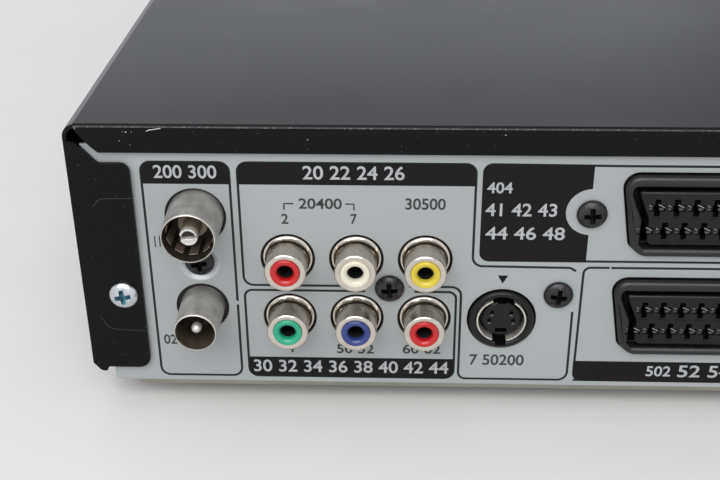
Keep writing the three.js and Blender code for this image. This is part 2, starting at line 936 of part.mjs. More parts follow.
function fanRotor() {
  const back = seatGap + fanStrutDepth - fanDepth;
  const front = -fanStrutDepth;
  const hub = turnedY([
    [fanShaft + seatGap, back],
    [fanHub, back],
    [fanHub, front],
    [0, front],
    [0, front - fanHubWall + seatGap],
    [fanShaft + seatGap, front - fanHubWall + seatGap],
  ], 2 * fineSteps);
  const blades = [];
  const span = (front - back) / 2 - seatGap;
  for (let i = 0; i < fanBlades; i += 1) {
    const thick = [-fanBladeThick / 2, fanBladeThick / 2];
    const blade = box([fanHub - fanHubWall, fanBore - fanTipGap], [-span, span], thick);
    blade.rotateX(THREE.MathUtils.degToRad(90 - fanBladePitch)).scale(1, span / (span + fanBladeThick), 1);
    blades.push(blade.translate(0, (front + back) / 2, 0).rotateY(2 * Math.PI * i / fanBlades));
  }
  const reach = rodYAxis(0, 0, fanBore - fanTipGap, back, front, 2 * fineSteps);
  const vanes = solidOf(join(...blades)).intersect(solidOf(reach));
  return geometryOf(vanes.add(solidOf(hub)).subtract(solidOf(
    rodYAxis(0, 0, fanShaft + seatGap, back - overrun, front - fanHubWall + seatGap, 2 * coarseSteps),
  )));
}

const fanPlace = [fanX, behindPanelY - seatGap, rearZ(fanUp)];
add('fan_frame', fanFrame(), plastic, fanPlace);
add('fan_rotor', fanRotor(), plastic, fanPlace);

// Boards on their spacer posts
const boardZs = [boardZ, boardZ + boardSheet];
const boardBackY = panBackY - panSheet - seatGap;
const mainBoardXs = [driveX + loaderHalf + mainBoardGap, datumX + mainBoardOverhang];
const mainBoardPlace = [(mainBoardXs[0] + mainBoardXs[1]) / 2, boardBackY - mainBoardDepth / 2];
const powerBoardXs = [powerBoardInset - halfWidth, powerBoardInset + powerBoardWidth - halfWidth];
const powerBoardPlace = [(powerBoardXs[0] + powerBoardXs[1]) / 2, boardBackY - powerBoardDepth / 2];
const mainBoardWidth = mainBoardXs[1] - mainBoardXs[0];
add('main_board', join(
  box(mainBoardXs, [boardBackY - mainBoardDepth, boardBackY], boardZs),
  ...spacerPosts(...mainBoardPlace, mainBoardWidth, mainBoardDepth, boardZ + boardSheet / 2),
), boardGreen);

function powerBoard() {
  const [, middleY] = powerBoardPlace;
  const board = box(powerBoardXs, [boardBackY - powerBoardDepth, boardBackY], boardZs);
  const fins = [];
  const sinkX = powerBoardXs[1] - sinkFins * sinkFinPitch;
  const sinkYs = [middleY - sinkLength / 2, middleY + sinkLength / 2];
  for (let i = 0; i < sinkFins; i += 1) {
    const x = sinkX + i * sinkFinPitch;
    fins.push(box([x, x + sinkFinWidth], sinkYs, [boardZ + boardSheet / 2, boardZ + sinkHeight]));
  }
  const web = box([sinkX, powerBoardXs[1]], sinkYs, [boardZ + boardSheet / 2, boardZ + 2 * boardSheet]);
  const can = rodZAxis(
    powerBoardXs[0] + capacitorRadius + postRadius,
    middleY,
    capacitorRadius,
    boardZ + boardSheet / 2,
    boardZ + capacitorHeight,
    2 * fineSteps,
  );
  const posts = spacerPosts(...powerBoardPlace, powerBoardWidth, powerBoardDepth, boardZ + boardSheet / 2);
  return join(board, web, ...fins, can, ...posts);
}

add('power_board', powerBoard(), boardGreen);

// Transformer: a laminated core round its winding
function transformer() {
  const halfX = transformerWidth / 2;
  const halfY = transformerDepth / 2;
  const middle = transformerHeight / 2;
  const core = cut(
    box([-halfX, halfX], [-halfY, halfY], [0, transformerHeight]),
    box(
      [-halfX - overrun, halfX + overrun],
      [-halfY + transformerYoke, halfY - transformerYoke],
      [transformerYoke, transformerHeight - transformerYoke],
    ),
  );
  const yoke = transformerYoke;
  const winding = prism(
    roundedBox(0, 0, transformerWidth - yoke, transformerDepth - yoke, yoke),
    middle - windingHeight / 2,
    middle + windingHeight / 2,
  );
  return join(core, winding);
}

add('power_transformer', transformer(), greyResin, [
  powerBoardPlace[0],
  boardBackY - powerBoardDepth + transformerDepth,
  onBoardZ,
]);

// Front bezel: an open-backed moulding with its slot, window, key holes and jack bay
const bezelZ = footHeight + bezelLift;
const capZ = trayTopZ + capCrown - capHeight / 2;
const keyZ = windowCentreZ;
const keyPlaces = {
  power_button: powerInset - halfWidth,
  eject_button: ejectX,
  play_button: playX,
  stop_button: playX + keyPitch,
  record_button: playX + 2 * keyPitch,
};
const flapPivotZ = flapBottomZ + flapSheet / 2;
const flapTopZ = flapBottomZ + flapHeight;
const jackXs = Array.from({ length: frontJacks }, (_, i) => {
  const steps = i - (frontJacks - 1) / 2;
  return flapCentreX + steps * frontJackPitch;
});
const jackZ = (flapBottomZ + flapTopZ) / 2;

function frontBezel() {
  const height = topZ - bezelZ;
  const middle = (topZ + bezelZ) / 2;
  const outline = (inset) => roundedBox(0, middle, caseWidth - 2 * inset, height - 2 * inset, bezelCorner);
  const backY = frontY + bezelDepth;
  const room = 2 * buttonGap;
  const hole = (x, z, wide, tall) => roundedBox(x, z, wide + room, tall + room, buttonCorner, 2);
  const through = [frontY - overrun, frontY + bezelWall + overrun];
  const bayBack = frontY + bayDepth;
  const baySides = [flapXs[0] - buttonGap - bayWall, flapXs[1] + buttonGap + bayWall];
  const bayHeights = [bezelZ + bayRise, flapTopZ + buttonGap + bayWall];
  const shell = cut(
    prismY(outline(0), frontY, backY),
    prismY(outline(bezelWall), frontY + bezelWall, backY + overrun),
  );
  const bay = cut(
    join(shell, box(baySides, [frontY + bezelWall / 2, bayBack + bayWall], bayHeights)),
    box(
      [flapXs[0] - buttonGap, flapXs[1] + buttonGap],
      [frontY - overrun, bayBack],
      [flapBottomZ - buttonGap, flapTopZ + buttonGap],
    ),
    prismX(
      circle(frontY + flapSheet / 2, flapPivotZ, flapPin + seatGap, 2 * coarseSteps),
      flapXs[0] - flapPinLength - seatGap,
      flapXs[1] + flapPinLength + seatGap,
    ),
    ...jackXs.map((x) => rodYAxis(
      x,
      jackZ,
      frontJackRadius + seatGap,
      bayBack - overrun,
      bayBack + bayWall + overrun,
      smallSteps,
    )),
  );
  return cut(
    bay,
    prismY(roundedBox(driveX, capZ, capWidth + 2 * capGap, capHeight + 2 * capGap, capGap, 1), ...through),
    prismY(hole(windowCentreX, windowCentreZ, windowWidth, windowHeight), ...through),
    ...Object.values(keyPlaces).map((x) => prismY(hole(x, keyZ, buttonWidth, buttonHeight), ...through)),
  );
}

add('front_bezel', frontBezel(), plastic);

// The pane is stepped: its rebate seats on the bezel's back
const paneStep = buttonGap + buttonFlange;
const paneOutline = (step) => (
  roundedBox(windowCentreX, windowCentreZ, windowWidth + 2 * step, windowHeight + 2 * step, buttonCorner, 2)
);
const paneBackY = frontY + bezelWall + windowSheet;
add('display_window', join(
  prismY(paneOutline(0), frontY + windowSink, paneBackY),
  prismY(paneOutline(paneStep), frontY + bezelWall + seatGap, paneBackY),
), { color: 0x0d0e12, roughness: 0.15, metalness: 0 });

// Keys: face, retaining flange and a stem towards the switch on the front board
const frontBoardY = frontY + bezelDepth - boardSheet;

function pushKey() {
  const flangeY = bezelWall + seatGap;
  const stemEnd = frontBoardY - frontY - buttonTravel - seatGap;
  const face = roundedBox(0, 0, buttonWidth, buttonHeight, buttonCorner);
  return join(
    prismY(face, -buttonProud, flangeY + buttonFlangeSheet),
    box(
      [-buttonWidth / 2 - paneStep, buttonWidth / 2 + paneStep],
      [flangeY, flangeY + buttonFlangeSheet],
      [-buttonHeight / 2, buttonHeight / 2],
    ),
    rodYAxis(0, 0, buttonStem, flangeY, stemEnd, 2 * coarseSteps),
  );
}

for (const [name, x] of Object.entries(keyPlaces)) add(name, pushKey(), greyResin, [x, frontY, keyZ]);

// Jack flap: a thin door on two pins at its lower edge
function jackFlap() {
  const radius = flapSheet / 2;
  const side = [
    ...arc(0, 0, radius, Math.PI, 2 * Math.PI, coarseSteps),
    point(radius, flapHeight - radius),
    point(-radius, flapHeight - radius),
  ];
  const pinOutline = circle(0, 0, flapPin, 2 * coarseSteps);
  const pins = prismX(pinOutline, flapXs[0] - flapPinLength, flapXs[1] + flapPinLength);
  return join(prismX(side, ...flapXs), pins);
}

add('jack_flap', jackFlap(), plastic, [0, frontY + flapSheet / 2, flapPivotZ]);

// Front board: notched under the tray, with the front jacks standing on it
function frontBoard() {
  const low = bezelZ + frontBoardMargin;
  const high = topZ - frontBoardMargin - bezelWall;
  const underTray = loaderBaseZ + loaderWall;
  const ends = halfWidth - bezelWall - frontBoardMargin;
  const slotHalf = capWidth / 2 + buttonGap;
  const outline = [
    point(-ends, low),
    point(ends, low),
    point(ends, high),
    point(driveX + slotHalf, high),
    point(driveX + slotHalf, underTray),
    point(driveX - slotHalf, underTray),
    point(driveX - slotHalf, high),
    point(-ends, high),
  ];
  const board = prismY(outline, frontBoardY, frontBoardY + boardSheet);
  const jacks = jackXs.map((x) => turnedY([
    [0, frontBoardY - frontY + boardSheet / 2],
    [frontJackRadius, frontBoardY - frontY + boardSheet / 2],
    [frontJackRadius, bayDepth - bayWall],
    [frontJackBore, bayDepth - bayWall],
    [frontJackBore, bayDepth + bayWall],
    [0, bayDepth + bayWall],
  ], smallSteps).translate(x, frontY, jackZ));
  return join(board, ...jacks);
}

add('front_board', frontBoard(), boardGreen);

// Disc tray: a thin moulding with two disc wells, a slot for spindle and pickup, and a rack below
const trayFrontY = frontY + capSheet + seatGap;
const trayBackY = trayFrontY + trayLength;
const trayLowZ = trayTopZ - trayHeight;
const discY = trayFrontY + trayRim + discWell;
const trayHalf = trayWidth / 2;
const trayGearRadius = toothModule * trayGearTeeth / 2;
const pinionRadius = toothModule * pinionTeeth / 2;
const gearPlace = [driveX + gearX, discY - gearY];
const rackLineX = gearPlace[0] - trayGearRadius;
const rackPitch = Math.PI * toothModule;

// Rack teeth point to +X; a gap stands opposite the gear's centre
function rack() {
  const addendum = addendumShare * toothModule;
  const dedendum = dedendumShare * toothModule;
  const slope = Math.tan(THREE.MathUtils.degToRad(pressureAngle));
  const half = rackPitch / 4 - toothBacklash / 2;
  const count = Math.ceil(trayStroke / rackPitch) + rackSpareTeeth;
  const root = rackLineX - dedendum;
  const tip = rackLineX + addendum;
  const edge = [];
  for (let i = 0; i < count; i += 1) {
    const y = gearPlace[1] + (i - 1 / 2) * rackPitch;
    edge.push(
      point(root, y - half - dedendum * slope),
      point(tip, y - half + addendum * slope),
      point(tip, y + half - addendum * slope),
      point(root, y + half + dedendum * slope),
    );
  }
  const start = edge[0].y - toothModule;
  const end = edge[edge.length - 1].y + toothModule;
  const back = root - rackWidth + dedendum;
  const outline = [point(back, start), point(root, start), ...edge, point(root, end), point(back, end)];
  return prism(outline, trayLowZ - rackDrop, trayLowZ + trayWall);
}

function discTray() {
  const deckZ = trayTopZ - trayWall;
  const wellZ = trayTopZ - discWellDepth;
  const wellSteps = 4 * fineSteps;
  const lowerSteps = 3 * fineSteps;
  const middleY = (trayFrontY + trayBackY) / 2;
  const slab = prism(roundedBox(driveX, middleY, trayWidth, trayLength, trayWall, 2), trayLowZ, trayTopZ);
  const hollow = cut(
    box(
      [driveX - trayHalf + trayWall, driveX + trayHalf - trayWall],
      [trayFrontY + trayWall, trayBackY - trayWall],
      [trayLowZ - overrun, deckZ],
    ),
    rodZAxis(driveX, discY, discWell + trayWall, trayLowZ - 2 * overrun, trayTopZ, wellSteps),
  );
  const underZ = wellZ - smallWellDepth - trayWall;
  const underWell = rodZAxis(driveX, discY, discWell - trayWall, trayLowZ - overrun, underZ, lowerSteps);
  const slot = prism([
    ...arc(driveX, discY, traySlotHalf, Math.PI, 2 * Math.PI, 2 * fineSteps),
    point(driveX + traySlotHalf, trayBackY + overrun),
    point(driveX - traySlotHalf, trayBackY + overrun),
  ], trayLowZ - 2 * overrun, trayTopZ + overrun);
  const shell = cut(slab, hollow, underWell);
  return cut(
    join(shell, rack()),
    rodZAxis(driveX, discY, discWell, wellZ, trayTopZ + overrun, wellSteps),
    rodZAxis(driveX, discY, smallWell, wellZ - smallWellDepth, trayTopZ, lowerSteps),
    slot,
  );
}

add('disc_tray', discTray(), { color: 0x2a2b2d, roughness: 0.5, metalness: 0 });
const capOutline = roundedBox(driveX, capZ, capWidth, capHeight, capGap, 2);
add('tray_cap', prismY(capOutline, frontY, frontY + capSheet), plastic);

// Loader frame: base with its window, side walls, tray rails and hooks, gear posts, pivot brackets
const loaderYs = [frontY + loaderStart, frontY + loaderStart + loaderLength];
const loaderBaseTop = loaderBaseZ + loaderBaseSheet;
const pinionPlace = [gearPlace[0] + trayGearRadius + pinionRadius, gearPlace[1]];
const motorPlace = [pinionPlace[0] + motorOffsetX, pinionPlace[1]];
const pivotPlaceY = discY + cradlePivot;

function loaderFrame() {
  const inner = loaderHalf - loaderWall;
  const base = cut(
    box([driveX - loaderHalf, driveX + loaderHalf], loaderYs, [loaderBaseZ, loaderBaseTop]),
    box(
      [driveX - cradleHalf - pivotWall, driveX + cradleHalf + pivotWall],
      [discY - cradleFront - pivotWall, discY + cradleBack - pivotHeight],
      [loaderBaseZ - overrun, loaderBaseTop + overrun],
    ),
    rodZAxis(
      ...motorPlace,
      loadingMotorRadius + seatGap,
      loaderBaseZ - overrun,
      loaderBaseTop + overrun,
      2 * fineSteps,
    ),
  );
  const inWall = loaderHalf - loaderWall / 2;
  const railTop = trayLowZ - seatGap;
  const sides = [-1, 1].flatMap((side) => {
    const span = (near, far) => [driveX + side * near, driveX + side * far].sort((a, b) => a - b);
    const bracketFace = cradleHalf + seatGap;
    return [
      box(span(inner, loaderHalf), loaderYs, [loaderBaseZ, loaderTopZ]),
      box(span(inner - railReach, inWall), loaderYs, [railTop - railHeight, railTop]),
      box(
        span(inner - hookReach, inWall),
        [loaderYs[0], loaderYs[0] + bridgeHalf],
        [trayTopZ + seatGap, trayTopZ + seatGap + hookHeight],
      ),
      cut(
        box(
          span(bracketFace, bracketFace + pivotWall),
          [pivotPlaceY - pivotHeight, pivotPlaceY + pivotHeight],
          [loaderBaseZ, cradlePivotZ + trunnionRadius],
        ),
        prismX(
          circle(pivotPlaceY, cradlePivotZ, trunnionRadius + seatGap, 2 * coarseSteps),
          ...span(cradleHalf, bracketFace + pivotWall + overrun),
        ),
      ),
    ];
  });
  const rear = box(
    [driveX - loaderHalf, driveX + loaderHalf],
    [loaderYs[1] - loaderWall, loaderYs[1]],
    [loaderBaseZ, trayLowZ],
  );
  const post = ([x, y], top, shoulder) => [
    rodZAxis(x, y, gearPostFoot, loaderBaseTop - overrun, shoulder - seatGap, 2 * coarseSteps),
    rodZAxis(x, y, gearPost, loaderBaseTop - overrun, top, 2 * coarseSteps),
  ];
  return join(
    base,
    ...sides,
    rear,
    ...post(gearPlace, trayLowZ - 2 * seatGap, gearLowZ),
    ...post(pinionPlace, gearLowZ + pinionMeshHeight, pulleyLowZ),
    ...spacerPosts(
      driveX,
      (loaderYs[0] + loaderYs[1]) / 2,
      2 * loaderHalf,
      loaderLength,
      loaderBaseZ + loaderBaseSheet / 2,
    ),
  );
}

add('loader_frame', loaderFrame(), greyResin);

// Gear with involute flanks, a tooth centred at the given angle
function gearOutline(teeth, phase) {
  const pitch = toothModule * teeth / 2;
  const tilt = THREE.MathUtils.degToRad(pressureAngle);
  const base = pitch * Math.cos(tilt);
  const involute = (angle) => Math.tan(angle) - angle;
  const halfAt = (radius) => {
    const angle = Math.acos(Math.min(1, base / radius));
    return Math.PI / 2 / teeth - toothBacklash / 2 / pitch + involute(tilt) - involute(angle);
  };
  const root = pitch - dedendumShare * toothModule;
  const tip = pitch + addendumShare * toothModule;
  const flank = [
    [root, halfAt(base)],
    [Math.max(base, root), halfAt(base)],
    [pitch, halfAt(pitch)],
    [tip, halfAt(tip)],
  ];
  const points = [];
  for (let i = 0; i < teeth; i += 1) {
    const middle = phase + 2 * Math.PI * i / teeth;
    const rise = flank.map(([radius, half]) => [radius, middle - half]);
    const fall = flank.map(([radius, half]) => [radius, middle + half]).reverse();
    for (const [radius, angle] of [...rise, ...fall]) {
      points.push(point(radius * Math.cos(angle), radius * Math.sin(angle)));
    }
  }
  return points;
}

const bushRadius = gearPost + gearPostGap;
const gearBore = circle(0, 0, bushRadius, 2 * coarseSteps);
const trayGear = prism(gearOutline(trayGearTeeth, 0), gearLowZ, trayLowZ - rackGap, [gearBore]);
add('tray_gear', trayGear, paleResin, [...gearPlace, 0]);

function groovedPulley(radius, bore, steps) {
  const low = pulleyLowZ;
  const high = low + pulleyHeight;
  const rim = pulleyHeight * pulleyRimShare;
  const middle = (low + high) / 2;
  return turnedZ([
    [bore, low],
    [radius, low],
    [radius, low + rim],
    [radius - beltGroove, middle - beltHeight / 2 - seatGap],
    [radius - beltGroove, middle + beltHeight / 2 + seatGap],
    [radius, high - rim],
    [radius, high],
    [bore, high],
  ], steps);
}

const pinionForm = prism(
  gearOutline(pinionTeeth, Math.PI + Math.PI / pinionTeeth),
  pulleyLowZ + pulleyHeight - overrun,
  gearLowZ + pinionMeshHeight,
  [gearBore],
);
const pulleyGear = cut(
  join(groovedPulley(pulleyRadius, bushRadius, 2 * fineSteps), pinionForm),
  rodZAxis(0, 0, bushRadius, pulleyLowZ - overrun, gearLowZ + pinionMeshHeight + overrun, 2 * coarseSteps),
);
add('pulley_gear', pulleyGear, paleResin, [...pinionPlace, 0]);

// Loading motor on its shaft, the small pulley and the belt
const beltMiddle = pulleyLowZ + pulleyHeight / 2;
const motorTop = pulleyLowZ - 2 * seatGap;
add('loading_motor', turnedZ([
  [0, motorTop - loadingMotorHeight],
  [loadingMotorRadius, motorTop - loadingMotorHeight],
  [loadingMotorRadius, motorTop],
  [motorShaft, motorTop],
  [motorShaft, pulleyLowZ + pulleyHeight],
  [0, pulleyLowZ + pulleyHeight],
], 2 * fineSteps), dullNickel, [...motorPlace, 0]);
const motorPulley = groovedPulley(motorPulleyRadius, motorShaft + gearPostGap, 2 * coarseSteps);
add('motor_pulley', motorPulley, paleResin, [...motorPlace, 0]);

function beltLoop(inset) {
  const big = pulleyRadius - beltGroove + seatGap + inset;
  const small = motorPulleyRadius - beltGroove + seatGap + inset;
  const spread = Math.acos((big - small) / motorOffsetX);
  return [
    ...arc(...pinionPlace, big, spread, 2 * Math.PI - spread, 2 * fineSteps),
    ...arc(...motorPlace, small, -spread, spread, coarseSteps),
  ];
}

add('loading_belt', prism(
  beltLoop(beltSheet),
  beltMiddle - beltHeight / 2,
  beltMiddle + beltHeight / 2,
  [beltLoop(0)],
), rubber);

// Clamp bridge and the disc clamp hanging through it
const bridgeZ = loaderTopZ + seatGap;
add('clamp_bridge', prism(
  roundedBox(driveX, discY, 2 * loaderHalf, 2 * bridgeHalf, bridgeCorner),
  bridgeZ,
  bridgeZ + bridgeSheet,
  [circle(driveX, discY, clampHub + 2 * seatGap, 3 * fineSteps)],
), zinc);

function discClamp() {
  const low = platterZ + seatGap;
  const rimZ = bridgeZ + bridgeSheet + seatGap;
  const form = turnedZ([
    [0, low + clampRecessDepth],
    [clampRecess, low + clampRecessDepth],
    [clampRecess, low],
    [clampHub, low],
    [clampHub, rimZ],
    [clampRim, rimZ],
    [clampRim, rimZ + clampRimSheet],
    [0, rimZ + clampRimSheet],
  ], 2 * fineSteps);
  const holes = Array.from({ length: clampHoles }, (_, i) => {
    const angle = 2 * Math.PI * i / clampHoles;
    return rodZAxis(
      clampHoleSpread * Math.cos(angle),
      clampHoleSpread * Math.sin(angle),
      clampHoleRadius,
      low - overrun,
      rimZ + clampRimSheet + overrun,
      2 * coarseSteps,
    );
  });
  return cut(form, ...holes);
}

add('disc_clamp', discClamp(), greyResin, [driveX, discY, 0]);

// Traverse cradle: stepped plate with a window, rod holders and two trunnions
const windowYs = [cradleWindowStart, cradleWindowEnd];

function traverse() {
  const high = cradleZ + cradleSheet;
  const length = cradleBack + cradleFront;
  const outline = roundedBox(0, (cradleBack - cradleFront) / 2, 2 * cradleHalf, length, cradleCorner);
  const window = [
    point(-cradleWindowHalf, windowYs[0]),
    point(cradleWindowHalf, windowYs[0]),
    point(cradleWindowHalf, windowYs[1]),
    point(-cradleWindowHalf, windowYs[1]),
  ];
  const plate = prism(outline, cradleZ, high, [window]);
  const holderXs = [-rodSpread, rodSpread, screwSpread];
  const holders = holderXs.flatMap((x) => windowYs.map((y, end) => {
    const outside = end ? 1 : -1;
    const ys = [y + outside * seatGap, y + outside * (seatGap + rodBlock)].sort((a, b) => a - b);
    return box([x - rodBlock, x + rodBlock], ys, [rodZ - rodBlock, cradleZ + cradleSheet / 2]);
  }));
  const bores = holderXs.map((x) => rodYAxis(
    x,
    rodZ,
    rodRadius + seatGap,
    windowYs[0] - 2 * rodBlock,
    windowYs[1] + 2 * rodBlock,
    2 * coarseSteps,
  ));
  const reach = cradleHalf + seatGap + trunnionLength;
  const trunnions = [-1, 1].map((side) => prismX(
    circle(cradlePivot, cradlePivotZ, trunnionRadius, 2 * coarseSteps),
    ...[side * (cradleHalf - overrun), side * reach].sort((a, b) => a - b),
  ));
  return join(cut(join(plate, ...holders), ...bores), ...trunnions);
}

add('traverse_cradle', traverse(), greyResin, [driveX, discY, 0]);

const motorSeatZ = cradleZ + cradleSheet + seatGap;
const platterLowZ = platterZ - platterHeight;
add('spindle_motor', turnedZ([
  [0, motorSeatZ],
  [spindleMotorRadius, motorSeatZ],
  [spindleMotorRadius, platterLowZ - seatGap],
  [0, platterLowZ - seatGap],
], 2 * fineSteps), dullNickel, [driveX, discY, 0]);

function turntableForm() {
  const form = turnedZ([
    [0, platterLowZ],
    [spindleMotorRadius, platterLowZ],
    [platterRadius, platterZ - platterRim],
    [platterRadius, platterZ],
    [coneRadius, platterZ],
    [coneRadius - coneTaper, platterZ + coneHeight],
    [0, platterZ + coneHeight],
  ], 2 * fineSteps);
  const slots = Array.from({ length: coneSlots }, (_, i) => box(
    [coneSlotStart, coneRadius + overrun],
    [-coneSlotWidth / 2, coneSlotWidth / 2],
    [platterZ + seatGap, platterZ + coneHeight + overrun],
  ).rotateZ(2 * Math.PI * i / coneSlots));
  return cut(form, ...slots);
}

add('turntable', turntableForm(), paleResin, [driveX, discY, 0]);

// Guide rods, lead screw and sled motor
const rodEnds = [windowYs[0] - rodBlock, windowYs[1] + rodBlock];
for (const [name, side] of [['left', -1], ['right', 1]]) {
  add(
    `guide_rod_${name}`,
    rodYAxis(0, 0, rodRadius, ...rodEnds, 2 * coarseSteps),
    nickel,
    [driveX + side * rodSpread, discY, rodZ],
  );
}
const sledMotorBack = windowYs[0] - rodBlock - 2 * seatGap;
add('lead_screw', turnedY([
  [0, sledMotorBack + seatGap],
  [screwRadius, sledMotorBack + seatGap],
  [screwRadius, rodEnds[1]],
  [0, rodEnds[1]],
], 2 * coarseSteps), nickel, [driveX + screwSpread, discY, rodZ]);
const sledMotorTop = cradleZ - seatGap - rodZ;
add('sled_motor', cut(
  rodYAxis(0, 0, sledMotorRadius, sledMotorBack - sledMotorLength, sledMotorBack, 2 * fineSteps),
  box(
    [-sledMotorRadius - overrun, sledMotorRadius + overrun],
    [sledMotorBack - sledMotorLength - overrun, sledMotorBack + overrun],
    [sledMotorTop, sledMotorRadius + overrun],
  ),
), dullNickel, [driveX + screwSpread, discY, rodZ]);

// Optical pickup: low body on the rods, raised lens turret, a follower towards the lead screw
function pickup() {
  const ys = [sledHome - lensLead, sledHome - lensLead + pickupLength];
  const body = join(
    box([-pickupHalf, pickupHalf], ys, [pickupLow, pickupHigh]),
    box([-turretHalf, turretHalf], [ys[0], ys[0] + 2 * turretHalf], [pickupHigh - overrun, turretTop]),
    box(
      [pickupHalf - overrun, screwSpread - screwRadius - rodGap],
      [ys[0] + rodBlock, ys[1] - rodBlock],
      [rodZ - rodRadius, rodZ + rodRadius],
    ),
    rodZAxis(0, sledHome, lensRadius, turretTop - overrun, turretTop + lensHeight, 2 * fineSteps),
  );
  const bores = [-1, 1].map((side) => rodYAxis(
    side * rodSpread,
    rodZ,
    rodRadius + rodGap,
    ys[0] - overrun,
    ys[1] + overrun,
    2 * coarseSteps,
  ));
  return cut(body, ...bores);
}

add('optical_pickup', pickup(), dullNickel, [driveX, discY, 0]);

export default model;
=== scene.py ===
# Full-width disc recorder seen from its connector side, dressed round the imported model.
# Sizes in the dictionaries are millimetres: across runs over the back panel from its first
# printed line, up from its lower edge, out towards the viewer from its painted face.
import json
import math

import bmesh
import bpy
from mathutils import Matrix, Vector
from mathutils.geometry import tessellate_polygon


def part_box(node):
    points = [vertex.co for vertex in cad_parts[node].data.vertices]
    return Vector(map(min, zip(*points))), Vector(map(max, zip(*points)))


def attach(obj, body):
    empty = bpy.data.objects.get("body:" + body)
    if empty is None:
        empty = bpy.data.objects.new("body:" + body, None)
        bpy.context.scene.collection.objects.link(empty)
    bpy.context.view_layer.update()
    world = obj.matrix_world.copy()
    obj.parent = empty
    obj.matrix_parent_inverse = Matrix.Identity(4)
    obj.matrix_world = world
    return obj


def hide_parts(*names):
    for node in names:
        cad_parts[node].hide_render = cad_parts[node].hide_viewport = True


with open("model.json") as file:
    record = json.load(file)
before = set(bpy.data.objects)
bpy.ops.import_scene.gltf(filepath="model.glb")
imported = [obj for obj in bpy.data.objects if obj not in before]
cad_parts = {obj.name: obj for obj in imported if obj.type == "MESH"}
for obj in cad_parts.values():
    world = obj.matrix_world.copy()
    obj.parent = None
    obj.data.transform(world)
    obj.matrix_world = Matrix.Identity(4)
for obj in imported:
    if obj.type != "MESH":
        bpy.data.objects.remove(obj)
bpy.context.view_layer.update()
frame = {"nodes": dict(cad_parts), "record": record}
scene = bpy.context.scene
nodes = frame["nodes"]
mm = 0.001
print("frame loaded:", len(nodes), "nodes")


# Places on the back panel
datumInset = 14.2  # first printed line, in from the cover's side
coverLow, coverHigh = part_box("top_cover")
panelLow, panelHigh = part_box("rear_panel")
datumX = coverHigh.x - datumInset * mm
coverOut = (coverHigh.y - panelHigh.y) / mm
coverWidth = (coverHigh.x - coverLow.x) / mm


def at(across, up, out=0):
    return Vector((datumX - across * mm, panelHigh.y + out * mm, panelLow.z + up * mm))


def acrossUp(node):
    low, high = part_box(node)
    middle = (low + high) / 2
    return (datumX - middle.x) / mm, (middle.z - panelLow.z) / mm


def linked(name, data):
    made = bpy.data.objects.new(name, data)
    scene.collection.objects.link(made)
    return made


# Camera, worked out from the photograph's straight edges
cameraLook = {
    "across": 51.7, "up": 145.7, "away": 205.2, "nearest": 10,
    "pitch": 28.35, "yaw": -2.33, "roll": -0.52,
    "lens": 57.85, "sensor": 36,
}


def placeCamera():
    pitch, yaw, roll = [math.radians(cameraLook[name]) for name in ("pitch", "yaw", "roll")]
    ahead = Vector((math.sin(yaw) * math.cos(pitch), math.cos(yaw) * math.cos(pitch), -math.sin(pitch)))
    right = Vector((math.cos(yaw), -math.sin(yaw), 0))
    upward = right.cross(ahead)
    tiltedRight = math.cos(roll) * right + math.sin(roll) * upward
    tiltedUp = math.cos(roll) * upward - math.sin(roll) * right
    turn = Matrix.Rotation(math.pi, 3, "Z")  # the panel faces +Y
    matrix = Matrix([turn @ tiltedRight, turn @ tiltedUp, turn @ -ahead]).transposed().to_4x4()
    matrix.translation = at(cameraLook["across"], cameraLook["up"], cameraLook["away"])
    data = bpy.data.cameras.new("camera")
    data.sensor_width = cameraLook["sensor"]
    data.lens = cameraLook["lens"]
    data.clip_start = cameraLook["nearest"] * mm
    scene.camera = linked("camera", data)
    scene.camera.matrix_world = matrix


placeCamera()
print("camera placed")


# Materials
def linear(code):
    channels = [int(code[i:i + 2], 16) / 255 for i in (0, 2, 4)]
    return [c / 12.92 if c <= 0.04045 else ((c + 0.055) / 1.055) ** 2.4 for c in channels]


def tone(colour, factor):
    return [min(1, c * factor) for c in colour] + [1]


def noise(tree, size, detail, stretch=None):
    source = tree.nodes.new("ShaderNodeTexCoord").outputs["Object"]
    if stretch:
        mapping = tree.nodes.new("ShaderNodeMapping")
        mapping.inputs["Scale"].default_value = stretch
        tree.links.new(source, mapping.inputs["Vector"])
        source = mapping.outputs["Vector"]
    node = tree.nodes.new("ShaderNodeTexNoise")
    node.inputs["Scale"].default_value = 1 / (size * mm)
    node.inputs["Detail"].default_value = detail
    tree.links.new(source, node.inputs["Vector"])
    return node.outputs["Fac"]


def ranged(tree, value, low, high, toLow, toHigh):
    node = tree.nodes.new("ShaderNodeMapRange")
    for name, amount in (("From Min", low), ("From Max", high), ("To Min", toLow), ("To Max", toHigh)):
        node.inputs[name].default_value = amount
    tree.links.new(value, node.inputs["Value"])
    return node.outputs["Result"]


def mixed(tree, factor, first, second):
    node = tree.nodes.new("ShaderNodeMix")
    node.data_type = "RGBA"
    tree.links.new(factor, node.inputs[0])
    for socket, colour in ((node.inputs[6], first), (node.inputs[7], second)):
        if isinstance(colour, list):
            socket.default_value = colour
        else:
            tree.links.new(colour, socket)
    return node.outputs[2]


noiseSpan = (0.3, 0.7)  # where Blender's noise has most of its values
speckEdge = 0.02
usualLook = {"metal": 0, "ior": 1.5, "coat": 0, "coatRough": 0.1, "shade": 0.08, "roughSpread": 0.08,
             "stretch": None}


